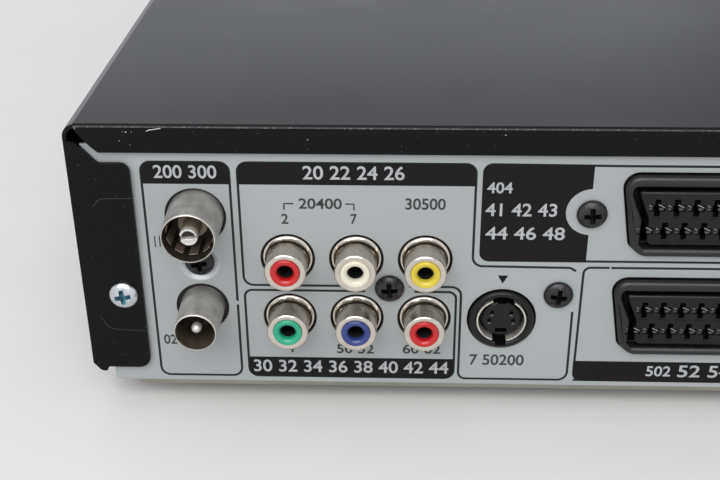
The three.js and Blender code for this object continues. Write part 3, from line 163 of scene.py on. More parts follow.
# grain and mottle are sizes and depth is the grain's; shade says how far the mottle goes either way
def finish(name, colour, rough, grain, depth, mottle, more=()):
    look = {**usualLook, **dict(more)}
    material = bpy.data.materials.new(name)
    material.use_nodes = True
    tree = material.node_tree
    shader = tree.nodes["Principled BSDF"]
    for socket, key in (("Metallic", "metal"), ("IOR", "ior"), ("Coat Weight", "coat"),
                        ("Coat Roughness", "coatRough")):
        shader.inputs[socket].default_value = look[key]
    colour = linear(colour)
    shade, roughSpread = look["shade"], look["roughSpread"]
    patches = noise(tree, mottle, 4, look["stretch"])
    spread = ranged(tree, patches, *noiseSpan, 0, 1)
    base = mixed(tree, spread, tone(colour, 1 - shade), tone(colour, 1 + shade))
    roughness = ranged(tree, patches, *noiseSpan, rough - roughSpread, rough + roughSpread)
    if "specks" in look:
        size, start, amount, speckColour = look["specks"]
        mask = ranged(tree, noise(tree, size, 1), start, start + speckEdge, 0, amount)
        base = mixed(tree, mask, base, tone(linear(speckColour), 1))
    tree.links.new(base, shader.inputs["Base Color"])
    tree.links.new(roughness, shader.inputs["Roughness"])
    bump = tree.nodes.new("ShaderNodeBump")
    bump.inputs["Strength"].default_value = 1
    bump.inputs["Distance"].default_value = depth * mm
    tree.links.new(noise(tree, grain, 2, look["stretch"]), bump.inputs["Height"])
    tree.links.new(bump.outputs["Normal"], shader.inputs["Normal"])
    return material


# colour, rough, grain, depth, mottle and what is unusual; specks have a size, the noise value that they
# start from, an amount and a colour
looks = {
    "cover_paint": ("060607", 0.33, 0.42, 0.012, 40, {"ior": 1.24, "shade": 0.04, "roughSpread": 0.02,
                                                      "specks": (0.34, 0.785, 0.8, "8d8f92")}),
    "worn_paint_and_highlight": ("292726", 0.5, 0.3, 0.02, 0.9, {"shade": 0.3, "specks": (0.4, 0.6, 0.4, "8a8888")}),
    "bare_steel": ("b9b9bb", 0.4, 0.2, 0.02, 0.7, {"shade": 0.3, "metal": 0.3}),
    "panel_paint": ("919595", 0.42, 0.3, 0.004, 30, {"shade": 0.03, "specks": (0.6, 0.8, 0.5, "5f6264")}),
    "seat_paint_highlight": ("a6aaad", 0.25, 0.3, 0.004, 30, {"coat": 0.6}),
    "zinc_steel": ("9b9b8f", 0.42, 0.6, 0.006, 9, {"metal": 1}),
    "tinned_steel": ("a9aaa8", 0.35, 0.8, 0.006, 8, {"metal": 1}),
    "cut_edge": ("544f43", 0.6, 0.4, 0.01, 2, {"metal": 0.3}),
    "dull_nickel": ("a9a7a2", 0.36, 0.3, 0.02, 3.2, {"metal": 0.6, "shade": 0.28}),
    "lip_nickel": ("c9c5bb", 0.32, 0.3, 0.012, 1.4, {"metal": 0.7, "shade": 0.15}),
    "nickel_plate": ("c9c0b4", 0.3, 0.28, 0.014, 2, {"metal": 1, "shade": 0.07, "roughSpread": 0.06}),
    "nickel_polished": ("d2cabf", 0.16, 0.6, 0.003, 3, {"metal": 1}),
    "black_plastic": ("0c0c0d", 0.36, 0.25, 0.03, 3,
                      {"ior": 1.36, "shade": 0.12, "specks": (0.35, 0.78, 0.5, "6b6b6c")}),
    "rim_plastic": ("0f0f10", 0.36, 0.28, 0.05, 3, {"shade": 0.12, "specks": (0.3, 0.76, 0.5, "6b6b6c")}),
    "bezel_plastic": ("1f1f21", 0.38, 0.25, 0.01, 30),
    "tray_plastic": ("2a2b2d", 0.5, 0.3, 0.02, 20),
    "key_plastic": ("77787b", 0.36, 0.2, 0.006, 6),
    "grey_resin": ("6a6c6e", 0.5, 0.35, 0.015, 10),
    "pale_resin": ("ddd9cc", 0.48, 0.4, 0.008, 6, {"shade": 0.04}),
    "window_acrylic": ("0a0b0e", 0.08, 2, 0.002, 20, {"roughSpread": 0.02, "coat": 0.6}),
    "circuit_board": ("24563a", 0.45, 0.7, 0.02, 4, {"shade": 0.25}),
    "transformer_core": ("4b4742", 0.55, 0.5, 0.04, 2, {"stretch": (1, 1, 0.15), "metal": 0.6}),
    "belt_rubber": ("191919", 0.7, 0.3, 0.02, 5),
    "foot_rubber": ("202021", 0.78, 0.4, 0.03, 6),
    "ground_steel": ("c3c4c6", 0.2, 0.3, 0.004, 3, {"metal": 1, "stretch": (1, 0.1, 1)}),
    "pickup_metal": ("9fa1a4", 0.4, 0.5, 0.02, 6, {"metal": 0.9}),
    "lit_wall_grey": ("4e4f53", 0.35, 0.3, 0.01, 1.5, {"metal": 0.4}),
    "insert_green": ("24906f", 0.2, 0.5, 0.004, 2, {"shade": 0.05}),
    "insert_blue": ("2b376f", 0.2, 0.5, 0.004, 2, {"shade": 0.05}),
    "insert_red": ("a9171a", 0.2, 0.5, 0.004, 2, {"shade": 0.05}),
    "insert_white": ("c9c4b2", 0.22, 0.5, 0.004, 2, {"shade": 0.03}),
    "insert_yellow": ("bfab34", 0.2, 0.5, 0.004, 2, {"shade": 0.04}),
    "insert_orange": ("c4571c", 0.2, 0.5, 0.004, 2, {"shade": 0.04}),
    "bore_shade_black": ("070707", 0.6, 0.5, 0.004, 2),
    "socket_brown_and_shade": ("4f463a", 0.5, 0.4, 0.01, 1.6, {"shade": 0.2, "metal": 0.4}),
    "socket_shade_dark": ("2a241e", 0.5, 0.4, 0.01, 1.6, {"shade": 0.25, "metal": 0.3}),
    "socket_disc": ("8a7d6b", 0.5, 0.4, 0.01, 1.2, {"shade": 0.2}),
    "spring_bronze": ("84766a", 0.36, 0.4, 0.01, 1.2, {"shade": 0.2, "metal": 0.7}),
    "pin_white": ("c8c6c1", 0.35, 0.4, 0.02, 0.8, {"shade": 0.22, "metal": 0.5}),
    "contact_tin": ("bdbab4", 0.3, 0.5, 0.004, 2, {"metal": 1}),
    "screw_zinc": ("c9cdd0", 0.22, 0.5, 0.006, 1.5, {"metal": 1}),
    "screw_recess": ("4a7783", 0.35, 0.3, 0.01, 1, {"metal": 0.6, "shade": 0.2}),
    "screw_black": ("353435", 0.3, 0.3, 0.045, 0.8, {"metal": 0.8, "shade": 0.45, "roughSpread": 0.14}),
    "recess_shade_black": ("060606", 0.6, 0.3, 0.01, 1, {"ior": 1.2}),
    "print_ink": ("0f0e0e", 0.5, 0.3, 0.004, 4, {"ior": 1.25}),
    "print_line": ("1a211f", 0.5, 0.3, 0.004, 4, {"ior": 1.25}),
    "print_pale": ("9a9c9e", 0.5, 0.3, 0.004, 4),
    "grey_print_and_highlight": ("222525", 0.5, 0.3, 0.004, 4),
    "table_white": ("cdccca", 0.6, 1.5, 0.004, 60, {"ior": 1.3, "shade": 0.015, "roughSpread": 0.04}),
}
materials = {name: finish(name, *look) for name, look in looks.items()}
print("materials made:", len(materials))


# Outlines, as lists of 2-D vectors in millimetres
tiny = 1e-6
straight = math.pi - 0.01
edgeShare = 0.49  # of an edge, the most that one rounded corner takes up
mitreLimit = 0.3


def turns(steps, sweep=math.pi / 2):
    return [sweep * k / steps for k in range(steps + 1)]


def arc(across, out, radius, angles):
    return [(across + radius * math.cos(t), out + radius * math.sin(t)) for t in angles]


def flat(points):
    return [Vector((p[0], p[1])) for p in points]


def rounded(points, radii, closed=True, steps=6):
    points = flat(points)
    count = len(points)
    result = []
    for i, corner in enumerate(points):
        radius = radii[i] if isinstance(radii, list) else radii
        if radius == 0 or (not closed and i in (0, count - 1)):
            result.append(corner)
            continue
        back = points[i - 1] - corner
        ahead = points[(i + 1) % count] - corner
        angle = back.angle(ahead)
        if angle > straight:
            result.append(corner)
            continue
        reach = min(radius / math.tan(angle / 2), edgeShare * min(back.length, ahead.length))
        fillet = reach * math.tan(angle / 2)
        back.normalize()
        ahead.normalize()
        centre = corner + (back + ahead).normalized() * fillet / math.sin(angle / 2)
        start = corner + back * reach - centre
        end = corner + ahead * reach - centre
        sweep = start.angle_signed(end)
        for k in range(steps + 1):
            turned = -sweep * k / steps
            result.append(centre + Vector((
                start.x * math.cos(turned) - start.y * math.sin(turned),
                start.x * math.sin(turned) + start.y * math.cos(turned),
            )))
    return result


def rectangle(left, low, right, high, radii=0, steps=6):
    return rounded([(left, low), (right, low), (right, high), (left, high)], radii, True, steps)


def around(across, up, halfWide, halfTall, radii=0, steps=6):
    return rectangle(across - halfWide, up - halfTall, across + halfWide, up + halfTall, radii, steps)


def circle(across, up, radius, steps=48, start=0, end=2 * math.pi):
    full = abs(end - start - 2 * math.pi) < tiny
    angles = [start + (end - start) * i / steps for i in range(steps if full else steps + 1)]
    return flat(arc(across, up, radius, angles))


def area(points):
    return sum(a.x * b.y - b.x * a.y for a, b in zip(points, points[1:] + points[:1])) / 2


def offset(points, distance):
    turnSign = 1 if area(points) > 0 else -1
    result = []
    for i, here in enumerate(points):
        before = (here - points[i - 1]).normalized()
        after = (points[(i + 1) % len(points)] - here).normalized()
        normalA = Vector((before.y, -before.x)) * turnSign
        normalB = Vector((after.y, -after.x)) * turnSign
        share = max(mitreLimit, 1 + normalA.dot(normalB))
        result.append(here + (normalA + normalB) / share * distance)
    return result


def stroke(points, width):
    lefts, rights = [], []
    for i, here in enumerate(points):
        before = (here - points[i - 1]).normalized() if i else None
        after = (points[i + 1] - here).normalized() if i < len(points) - 1 else None
        along = ((before or after) + (after or before)).normalized()
        side = Vector((along.y, -along.x)) * width / 2
        lefts.append(here + side)
        rights.append(here - side)
    return lefts + rights[::-1]


# Solids, built in a bmesh in metres round a local origin: x across, y out, z up
def outward(form):
    bmesh.ops.recalc_face_normals(form, faces=form.faces)
    return form


def ringFaces(form, rings, mark=0):
    for near, far in zip(rings, rings[1:]):
        count = len(near)
        for i in range(count):
            corners = [near[i], near[(i + 1) % count], far[(i + 1) % count], far[i]]
            kept = [v for k, v in enumerate(corners) if v not in corners[:k]]
            if len(kept) > 2:
                form.faces.new(kept).material_index = mark


def fill(form, loops, mark=0):
    vertices = [v for loop in loops for v in loop]
    for triangle in tessellate_polygon([[Vector((v.co.x, v.co.z, 0)) for v in loop] for loop in loops]):
        corners = [vertices[i] for i in triangle]
        if len(set(corners)) == 3 and not form.faces.get(corners):
            form.faces.new(corners).material_index = mark


def slab(outer, low, high, holes=(), edge=0, steps=2, mark=0, holeMark=0, plain=(), wallOnly=False):
    form = bmesh.new()
    lows, highs = [], []
    levels = [(edge * (1 - math.cos(t)), edge * math.sin(t)) for t in turns(steps)] if edge else [(0, 0)]
    for index, loop in enumerate([outer, *holes]):
        sign = -1 if index == 0 else 1
        places = [(low + edge - rise, inset) for inset, rise in reversed(levels)]
        places += [(high - edge + rise, inset) for inset, rise in levels]
        rings = []
        for out, inset in places:
            line = offset(loop, sign * inset) if inset else loop
            rings.append([form.verts.new((-p.x * mm, out * mm, p.y * mm)) for p in line])
        inHole = index > 0 and index - 1 not in plain
        for k in range(len(rings) - 1):
            ownMark = holeMark if inHole and (k == len(levels) - 1 or not wallOnly) else mark
            ringFaces(form, rings[k:k + 2], ownMark)
        lows.append(rings[0])
        highs.append(rings[-1])
    fill(form, lows, mark)
    fill(form, highs, mark)
    return outward(form)


def skinLine(points, radii, width, skin, mark=0):
    return slab(stroke(rounded(points, radii, False), width), 0, skin, mark=mark)


def lathe(profile, steps=48, marks=None):
    form = bmesh.new()
    rings = []
    for radius, out in profile:
        if radius < tiny:
            rings.append([form.verts.new((0, out * mm, 0))] * steps)
        else:
            rings.append([form.verts.new((x * mm, out * mm, z * mm)) for x, z in
                          arc(0, 0, radius, turns(steps, 2 * math.pi)[:-1])])
    closed = profile[0][0] > tiny
    for i in range(len(rings) if closed else len(rings) - 1):
        ringFaces(form, [rings[i], rings[(i + 1) % len(rings)]], marks[i] if marks else 0)
    return outward(form)


def tube(radius, bore, low, high, steps, mark=0):
    return lathe([(bore, low), (radius, low), (radius, high), (bore, high)], steps, [mark] * 4)


def shifted(form, across=0, up=0, out=0, turn=0, tilt=0):
    matrix = Matrix.Translation((-across * mm, out * mm, up * mm))
    matrix @= Matrix.Rotation(math.radians(tilt), 4, "X") @ Matrix.Rotation(math.radians(turn), 4, "Y")
    form.transform(matrix)
    return form


def meshOf(name, form):
    mesh = bpy.data.meshes.new(name)
    form.to_mesh(mesh)
    form.free()
    return mesh


def together(*forms):
    whole = bmesh.new()
    for form in forms:
        mesh = meshOf("part", form)
        whole.from_mesh(mesh)
        bpy.data.meshes.remove(mesh)
    return whole


squareOn = 0.99999  # faces that lie square to an axis are shaded flat


def piece(name, form, finishes, place, instead=(), sharp=35):
    mesh = meshOf(name, form)
    for finishName in finishes:
        mesh.materials.append(materials[finishName])
    mesh.shade_smooth()
    mesh.set_sharp_from_angle(angle=math.radians(sharp))
    for polygon in mesh.polygons:
        polygon.use_smooth = max(abs(part) for part in polygon.normal) < squareOn
    made = linked(name, mesh)
    made.location = place
    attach(made, "case")
    if instead:
        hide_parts(*instead)
    return made


def bevelled(made, width, angle=35):
    bevel = made.modifiers.new("soft edges", "BEVEL")
    bevel.width = width * mm
    bevel.segments = 2
    bevel.limit_method = "ANGLE"
    bevel.angle_limit = math.radians(angle)
    bevel.harden_normals = True
    return made


def evaluated(made):
    mesh = bpy.data.meshes.new_from_object(made.evaluated_get(bpy.context.evaluated_depsgraph_get()))
    form = bmesh.new()
    form.from_mesh(mesh)
    bpy.data.meshes.remove(mesh)
    bmesh.ops.remove_doubles(form, verts=form.verts, dist=0.1 * tiny)
    return form


markCount = 4  # materials that a cut form may use


def carved(form, cutter):
    base, tool = [linked("carved", meshOf("carved", shape)) for shape in (form, cutter)]
    for used in (base, tool):
        for mark in range(markCount):
            used.data.materials.append(None)
    cut = base.modifiers.new("cut", "BOOLEAN")
    cut.operation = "DIFFERENCE"
    cut.solver = "EXACT"
    cut.object = tool
    result = evaluated(base)
    for used in (base, tool):
        bpy.data.meshes.remove(used.data)  # its object goes too
    return result


origin = at(0, 0)


# Cover: one folded sheet, its back edge turned down and its sides turned in over the panel
cover = {
    "sheet": 0.8, "bend": 2.8, "bendSteps": 8, "fold": 0.6, "rawBack": 0.15, "edge": 0.07,
    "flangeEnd": 2.35, "flangeSlope": 4.3, "flangeDrop": 5.9,
    "flangeFall": [(0, 0.02), (0.18, 0.28), (0.42, 0.52), (0.7, 0.78), (1, 1)],  # shares of slope and drop
    "sideFold": 0.1, "sideRound": 0.35, "sideUps": [4.8, 51.85, 56.7],
    "sideFlange": [(0.1, 56.7), (2.4, 56.2), (6.25, 51.85), (12.45, 51.85), (12.45, 3.9), (3.35, 3.9),
                   (2.9, 2.85), (1.7, 2.85), (0.1, 4.8)],
    "sideCorners": [0, 1.5, 1, 2, 2.5, 0.3, 0.5, 1.2, 0],
}


def coverSheet():
    form = bmesh.new()
    high = (coverHigh.z - panelLow.z) / mm
    frontOut = (coverLow.y - panelHigh.y) / mm
    side = -datumInset
    fold, bend, end = cover["fold"], cover["bend"], cover["flangeEnd"]
    quarter = turns(4)

    def spot(across, out, up):
        return form.verts.new((-across * mm, out * mm, up * mm))

    def strips(rows, wornAndLit=None):
        for row, (near, far) in enumerate(zip(rows, rows[1:])):
            for i in range(len(near) - 1):
                strip = form.faces.new((near[i], near[i + 1], far[i + 1], far[i]))
                strip.material_index = int(row == wornAndLit)

    # half of the section, up the side and round the bend to the flange along the top, then its mirror image
    half = [("side", side, up, 0) for up in cover["sideUps"]]
    for angle in turns(cover["bendSteps"]):
        across, up = side + bend * (1 - math.cos(angle)), high - bend + bend * math.sin(angle)
        if across < side + end - 0.01:
            half.append(("corner", across, up, 0))
    half += [("top", side + end + share * cover["flangeSlope"], high, fall * (cover["flangeDrop"] - fold))
             for share, fall in cover["flangeFall"]]
    columns = half + [(kind, 2 * side + coverWidth - across, *rest)
                      for kind, across, *rest in reversed(half)]
    rows = [[spot(across, out, up) for kind, across, up, fall in columns]
            for out in (frontOut, frontOut + 3 * fold, coverOut - fold)]
    strips(rows)
    last, final = rows[-1], len(columns) - 1
    # the raw corner between the flanges runs on to the back face
    corners = [i for i, column in enumerate(half) if column[0] == "corner"]
    span = [corners[0] - 1] + corners
    for chosen in (span, [final - i for i in reversed(span)]):
        ends = [spot(columns[i][1], coverOut - cover["rawBack"], columns[i][2]) for i in chosen]
        strips([[last[i] for i in chosen], ends])
    # turned-down flange along the top; its fold row takes the worn paint finish, worn paint and a painted
    # highlight along the fold
    tops = [i for i, column in enumerate(columns) if column[0] == "top"]
    folded = [[last[i] for i in tops]]
    for angle in quarter[1:]:
        out, up = coverOut - fold + fold * math.sin(angle), high - fold + fold * math.cos(angle)
        folded.append([spot(columns[i][1], out, up) for i in tops])
    folded.append([spot(columns[i][1], coverOut, high - fold - columns[i][3]) for i in tops])
    strips(folded, len(quarter) - 2)
    # sides turned in; each seam runs up from the skirt, and the outline comes back down the free edge
    for direction, edge, first in ((1, side, 0), (-1, side + coverWidth, final - 2)):
        chosen = range(first, first + 3)
        folded = [[last[i] for i in chosen]]
        for angle in quarter:
            across = edge + direction * cover["sideFold"] * (1 - math.cos(angle))
            out = coverOut - cover["sideRound"] * (1 - math.sin(angle))
            folded.append([spot(across, out, columns[i][2]) for i in chosen])
        strips(folded)
        outline = rounded([(edge + direction * inset, up) for inset, up in cover["sideFlange"]],
                          cover["sideCorners"], False, 5)
        fill(form, [folded[-1][::direction] + [spot(p.x, coverOut, p.y) for p in outline[1:-1]]])
    bmesh.ops.remove_doubles(form, verts=form.verts, dist=tiny)
    return outward(form)


coverPiece = piece("folded_cover", coverSheet(), ["cover_paint", "worn_paint_and_highlight"], origin,
                   instead=["top_cover"], sharp=25)
sheetDepth = coverPiece.modifiers.new("sheet", "SOLIDIFY")
sheetDepth.thickness = cover["sheet"] * mm
sheetDepth.offset = -1
sheetDepth.use_even_offset = True
# every bevelled edge of the sheet takes that same finish: worn paint and a painted highlight along the edges
bevelled(coverPiece, cover["edge"], 50).modifiers[-1].material = 1
print("cover folded")


# Bare metal where the paint is chipped or scratched, each a stroke of (across, up) points
chips = {
    "skin": 0.015,
    "strokes": [
        ([(2.35, 58.82), (2.6, 58.86), (2.95, 59.05), (3.3, 59.06), (3.75, 59.16), (4.4, 59.24),
          (4.8, 59.33), (5.25, 59.36)], 0.16),
        ([(-1.7, 58.45), (-1.42, 58.7)], 0.14), ([(-0.55, 58.6), (-0.42, 58.66)], 0.12),
        ([(-2.25, 58.62), (-2.15, 58.7)], 0.1), ([(-3.08, 56.68), (-2.95, 56.78)], 0.12),
        ([(-11.5, 59.5), (-11.45, 59.2)], 0.16), ([(33.4, 57.2), (33.6, 57.3)], 0.12),
        ([(71.2, 58.5), (71.5, 58.45)], 0.12), ([(-1.1, 55.9), (-1, 55.95)], 0.1),
    ],
}
# the faint edge that shows through the side flange, drawn as a lighter grey line: a painted highlight where
# its pressing catches the light
pressedHighlight = {
    "skin": 0.02, "width": 0.13, "corner": 2,
    "lines": [[(-9.9, 42.4), (-8.4, 44.2), (-1.8, 44.3)], [(-11.3, 16.7), (-9.6, 13.6), (-1.8, 13.1)]],
}
onCover = at(0, 0, coverOut - 0.002)  # sunk a little, so that no gap shows
forms = [skinLine(points, 0, width, chips["skin"]) for points, width in chips["strokes"]]
piece("paint_chips", together(*forms), ["bare_steel"], onCover, sharp=80)
# lighter grey lines on the flange: painted highlight along the pressed edge
forms = [skinLine(points, pressedHighlight["corner"], pressedHighlight["width"], pressedHighlight["skin"])
         for points in pressedHighlight["lines"]]
piece("flange_outline_highlight", together(*forms), ["grey_print_and_highlight"], onCover, sharp=80)
print("chips laid")


# Back panel: painted sheet with its openings and the sunk seat round one screw
panel = {
    "sheet": 1, "edge": 0.12,
    "aerialIn": 6.12, "aerialOut": 5.45, "phono": 5.5, "video": 7.1, "scartGap": 0.3,
    "seatUp": 29.2, "seatRadius": 4.15, "seatDepth": 0.75, "slotHeight": 2.6, "slots": 7, "fanBore": 18.6,
    "ear": 1.8, "earLow": 6, "earHigh": 55.45, "corner": 0.6, "inlet": (10.8, 6.3, 1.6),
}
phonoNames = ["green", "blue", "lower_red", "upper_red", "white", "yellow"]
aerialAcross = acrossUp("aerial_out_socket")[0]
seatPlace = aerialAcross, panel["seatUp"]

scart = {
    "width": 47.15, "height": 17.75, "proud": 1.6, "rim": 1.9, "rimTop": 2.4, "rimSide": 2.15, "crown": 1,
    "back": -13, "rimBack": -6.5, "lap": 0.1, "beyond": 4,
    "face": 1.1, "faceEdge": 0.55, "groove": 1.2, "grooveTop": 0.92, "grooveFoot": 0.6,
    "pinPitch": 3.81, "rowPitch": 5.08, "pinAcross": 5.05, "stagger": 1.93, "pinUp": 5.9,
    "slot": (0.575, 1.85), "slotFloor": -5.4, "arm": (1.675, 0.75), "armDepth": 0.9, "armDrop": 0.1,
    "outline": [(5.2, 0), (2.5, 2.45)], "outlineCorners": [2.2, 1.8, 2.8, 1.6, 1.6],
    "litPatches": [(-1.9, -1), (0.45, 1.35)], "litPatchUps": (-0.78, -0.32), "litPatchOut": 0.7,
    "ridge": (0.85, 0.09), "ridgeDrop": 2.35, "ridgeOut": 0.1,
    "step": [(3.05, 0), (2.15, 0.9), (2.15, 8.2), (0, 13.6)],
    "stepCorners": [0.3, 0.5, 0.8, 0.6, 1, 1.2, 1.2],
}


def scartLoop():
    width, height = scart["width"], scart["height"]
    return rounded(scart["outline"] + [(0, height), (width, height), (width, 0)], scart["outlineCorners"])


def scartRecess(inset=0, topInset=0, footInset=0):
    side = scart["rimSide"] + inset
    right = scart["width"] - side
    top = scart["height"] - scart["rimTop"] - topInset
    foot = scart["rim"] + footInset
    # the step's two low points rise with the foot
    points = [(side + across, up + foot * (i < 2)) for i, (across, up) in enumerate(scart["step"])]
    return rounded(points + [(side, top), (right, top), (right, foot)], scart["stepCorners"])


scartPlaces = {}
for name in ("scart_upper", "scart_lower"):
    low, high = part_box(name)
    scartPlaces[name] = ((datumX - high.x) / mm, (low.z - panelLow.z) / mm)


def backPanel():
    left = (datumX - panelHigh.x) / mm
    right = (datumX - panelLow.x) / mm
    high = (panelHigh.z - panelLow.z) / mm
    holes = [
        circle(aerialAcross, acrossUp("aerial_in_socket")[1], panel["aerialIn"]),
        circle(*acrossUp("aerial_out_socket"), panel["aerialOut"]),
        circle(*seatPlace, panel["seatRadius"]),
        circle(*acrossUp("s_video_socket"), panel["video"], 64),
        circle(*acrossUp("digital_out_jack"), panel["phono"]),
    ]
    holes += [circle(*acrossUp("phono_shell_" + name), panel["phono"]) for name in phonoNames]
    gap = offset(scartLoop(), panel["scartGap"])
    holes += [[p + Vector(place) for p in gap] for place in scartPlaces.values()]
    across, up = acrossUp("fan_frame")
    thick = panel["slotHeight"] / 2
    for i in range(panel["slots"]):
        drop = (i - (panel["slots"] - 1) / 2) * 2 * panel["slotHeight"]
        half = math.sqrt(panel["fanBore"] ** 2 - drop ** 2)
        holes.append(around(across, up + drop, half, thick, thick * 0.98))
    holes.append(around(*acrossUp("mains_inlet"), *panel["inlet"]))
    ear, earLow, earHigh = panel["ear"], panel["earLow"], panel["earHigh"]
    outline = rounded([
        (left + ear, 0), (right - ear, 0), (right - ear, earLow), (right, earLow),
        (right, earHigh), (right - ear, earHigh), (right - ear, high), (left + ear, high),
        (left + ear, earHigh), (left, earHigh), (left, earLow), (left + ear, earLow),
    ], panel["corner"], True, 3)
    plate = slab(outline, -panel["sheet"], 0, holes, panel["edge"], holeMark=1, plain=(2,))
    radius, depth = panel["seatRadius"], panel["seatDepth"]
    profile = rounded([
        (1.2, -depth), (radius - 1.1, -depth), (radius - 0.05, -0.03), (radius + 0.3, -0.03),
        (radius + 0.3, -depth - 0.6), (1.2, -depth - 0.6),
    ], [0, 0.8, 0.5, 0, 0, 0], True, 5)
    # the sunk seat takes a lighter, glossier copy of the panel paint: a painted highlight on the ring
    dish = lathe(profile, marks=[2] * len(profile))
    return together(plate, shifted(dish, *seatPlace))


piece("painted_panel", backPanel(), ["panel_paint", "cut_edge", "seat_paint_highlight"], origin,
      instead=["rear_panel"], sharp=40)
print("back panel cut")


# Printed lines and bands, skins of ink on the paint; each line has its points and corner radii
ink = {
    "line": 0.5, "thinLine": 0.32, "skin": 0.02, "bandSkin": 0.03,
    "lines": [
        ([(17.7, 20.2), (17.7, 51.85), (0.2, 51.85), (0.2, 1.4), (17.7, 1.4), (17.7, 19.3)],
         [0, 2, 2, 2, 2, 0]),
        ([(45.2, 24.1), (19.3, 24.1), (19.3, 51.85), (66.2, 51.85), (66.2, 29.15), (86, 28.95),
          (87.2, 28.2)], [0, 2, 2, 2, 2, 1, 0]),
        ([(53.4, 24.1), (64.1, 24.1), (64.1, 1.4), (87.25, 1.4), (87.2, 18.5)], [0, 2, 1.5, 2, 0]),
        ([(44.3, 22.9), (19.3, 22.9), (19.3, 1.4), (63.1, 1.4), (63.1, 22.9), (54.5, 22.9)],
         [0, 1.6, 2, 2, 1.6, 0]),
        ([(88, 30.5), (180, 30.5), (180, 51.7), (95, 51.7), (71, 51.85)], [0, 2, 2, 0, 0]),
        ([(94.25, 29.05), (180, 29.05), (180, 1.4), (88.6, 1.4)], [0, 2, 2, 0]),
        ([(88.6, 3.4), (88.75, 29.05), (93.9, 29.05)], [0, 1.4, 0]),
    ],
    "thinLines": [[(28.25, 41.6), (28.25, 42.95), (30.1, 42.95)],
                  [(40.5, 42.95), (42.2, 42.95), (42.2, 41.6)]],
    "bands": [  # left, low, right, high and corner radii
        (0.2, 47.1, 17.7, 51.85, [0, 0, 2, 2]), (19.3, 47.1, 66.2, 51.85, [0, 0, 2, 2]),
        (19.3, 1.4, 63.1, 6.3, [2, 2, 0, 0]), (88.35, 1.15, 180, 6.3, [2, 0, 0, 0]),
    ],
    "triangle": [(71.45, 27), (73.55, 27), (72.5, 25.1)],
    "block": (67.45, 30.25, 89, 52.1, [2, 0, 0, 2]), "blockTop": 51.98, "notch": (89.23, 41.65, 5.1),
}


def printedLines():
    forms = [skinLine(points, radii, ink["line"], ink["skin"], 1) for points, radii in ink["lines"]]
    forms += [skinLine(points, 0, ink["thinLine"], ink["skin"], 1) for points in ink["thinLines"]]
    # the dark block, with a notch round its screw in place of its upper right corner
    right = ink["block"][2]
    across, up, radius = ink["notch"]
    turn = math.acos((right - across) / radius)
    block = rectangle(*ink["block"])
    corner = block.index(max(block, key=lambda p: p.x + p.y))
    block[corner] = Vector((right, ink["blockTop"]))
    block[corner:corner] = circle(across, up, radius, 24, turn, 2 * math.pi - turn)[::-1]
    bands = [rectangle(*band) for band in ink["bands"]] + [flat(ink["triangle"]), block]
    return together(*forms, *[slab(band, 0, ink["bandSkin"]) for band in bands])


piece("printed_lines", printedLines(), ["print_ink", "print_line"], origin, sharp=80)


# Plain numbers for the sockets: text, left, right, up and how tall
numberWeight = 0.055
capHeight = 0.7  # of the font's size
numberOut = {"dark": 0.01, "pale": 0.032}
numbers = {
    "dark": [
        ("11", 1.5, 2.75, 33.9, 2.45), ("020", 1.4, 5.6, 10.3, 2.3), ("20400", 31.2, 39.8, 42.85, 2.25),
        ("2", 27.6, 29, 39.4, 2.2), ("7", 41.5, 42.8, 39.5, 2.2), ("30500", 52.4, 60.4, 42.95, 2.4),
        ("4", 27.6, 29.2, 8.5, 2.2), ("50 52", 38.2, 46.1, 8.45, 2.2), ("60 62", 52.2, 60.2, 8.6, 2.2),
        ("7 50200", 66.4, 77.9, 6.15, 2.6), ("80400", 154, 162, 25.4, 2.3),
    ],
    "pale": [
        ("200 300", 2.7, 15.2, 49.6, 2.75), ("20 22 24 26", 32.2, 52.2, 49.6, 2.85),
        ("30 32 34 36 38 40 42 44", 20.3, 62, 3.85, 2.95), ("404", 68.4, 73.4, 46.7, 2.3),
        ("41 42 43", 68.3, 82.4, 41.85, 2.75), ("44 46 48", 68.5, 84.3, 36.6, 2.75),
        ("502", 103.9, 109.1, 3.8, 2.5), ("52 54 56", 110.6, 128, 3.85, 2.95),
    ],
}


def numberForm(text, left, right, up, tall, out):
    curve = bpy.data.curves.new("number", "FONT")
    curve.body = text
    curve.align_x = curve.align_y = "CENTER"
    curve.size = tall / capHeight * mm
    curve.extrude = ink["skin"] / 2 * mm
    curve.offset = numberWeight * mm
    made = linked("number", curve)
    bpy.context.view_layer.update()
    form = evaluated(made)
    bpy.data.objects.remove(made)
    edges = [vertex.co.x for vertex in form.verts]
    fit = (right - left) * mm / (max(edges) - min(edges))
    centred = Matrix.Translation((-(max(edges) + min(edges)) / 2, 0, 0))
    turned = Matrix.Rotation(math.pi, 4, "Z") @ Matrix.Rotation(math.pi / 2, 4, "X")
    form.transform(turned @ Matrix.Diagonal((fit, 1, 1, 1)) @ centred)
    return shifted(form, (left + right) / 2, up, out)


for tint, finishName in (("dark", "grey_print_and_highlight"), ("pale", "print_pale")):
    forms = [numberForm(*entry, numberOut[tint]) for entry in numbers[tint]]
    piece("printed_numbers_" + tint, together(*forms), [finishName], origin, sharp=80)
print("panel printed")


# Screws: domed heads with a cross recess
screws = {
    "radius": 3.05, "rise": 1.7, "rim": 0.35, "foot": 0.97, "edge": 0.08,
    "recess": [(-1.3, 0.9, 0.3), (0.5, 2.24, 0.62)],  # from the crown, half the length and half the width
    "side": (-5.75, 22.1, 8),
    "dark": [(49.35, 23.8, 4), (84, 22.7, -6), (89.27, 41.35, 3), (146, 41.9, 20), (147.5, 16, -30),
             (181.5, 46.5, 12), (214.5, 46.5, 40), (181.5, 13.5, -15), (214.5, 13.5, 33), (355.6, 16, 10),
             (396.4, 16, 50), (300, 50, 18), (265, 8, -20)],
    "seatTurn": 10,
}


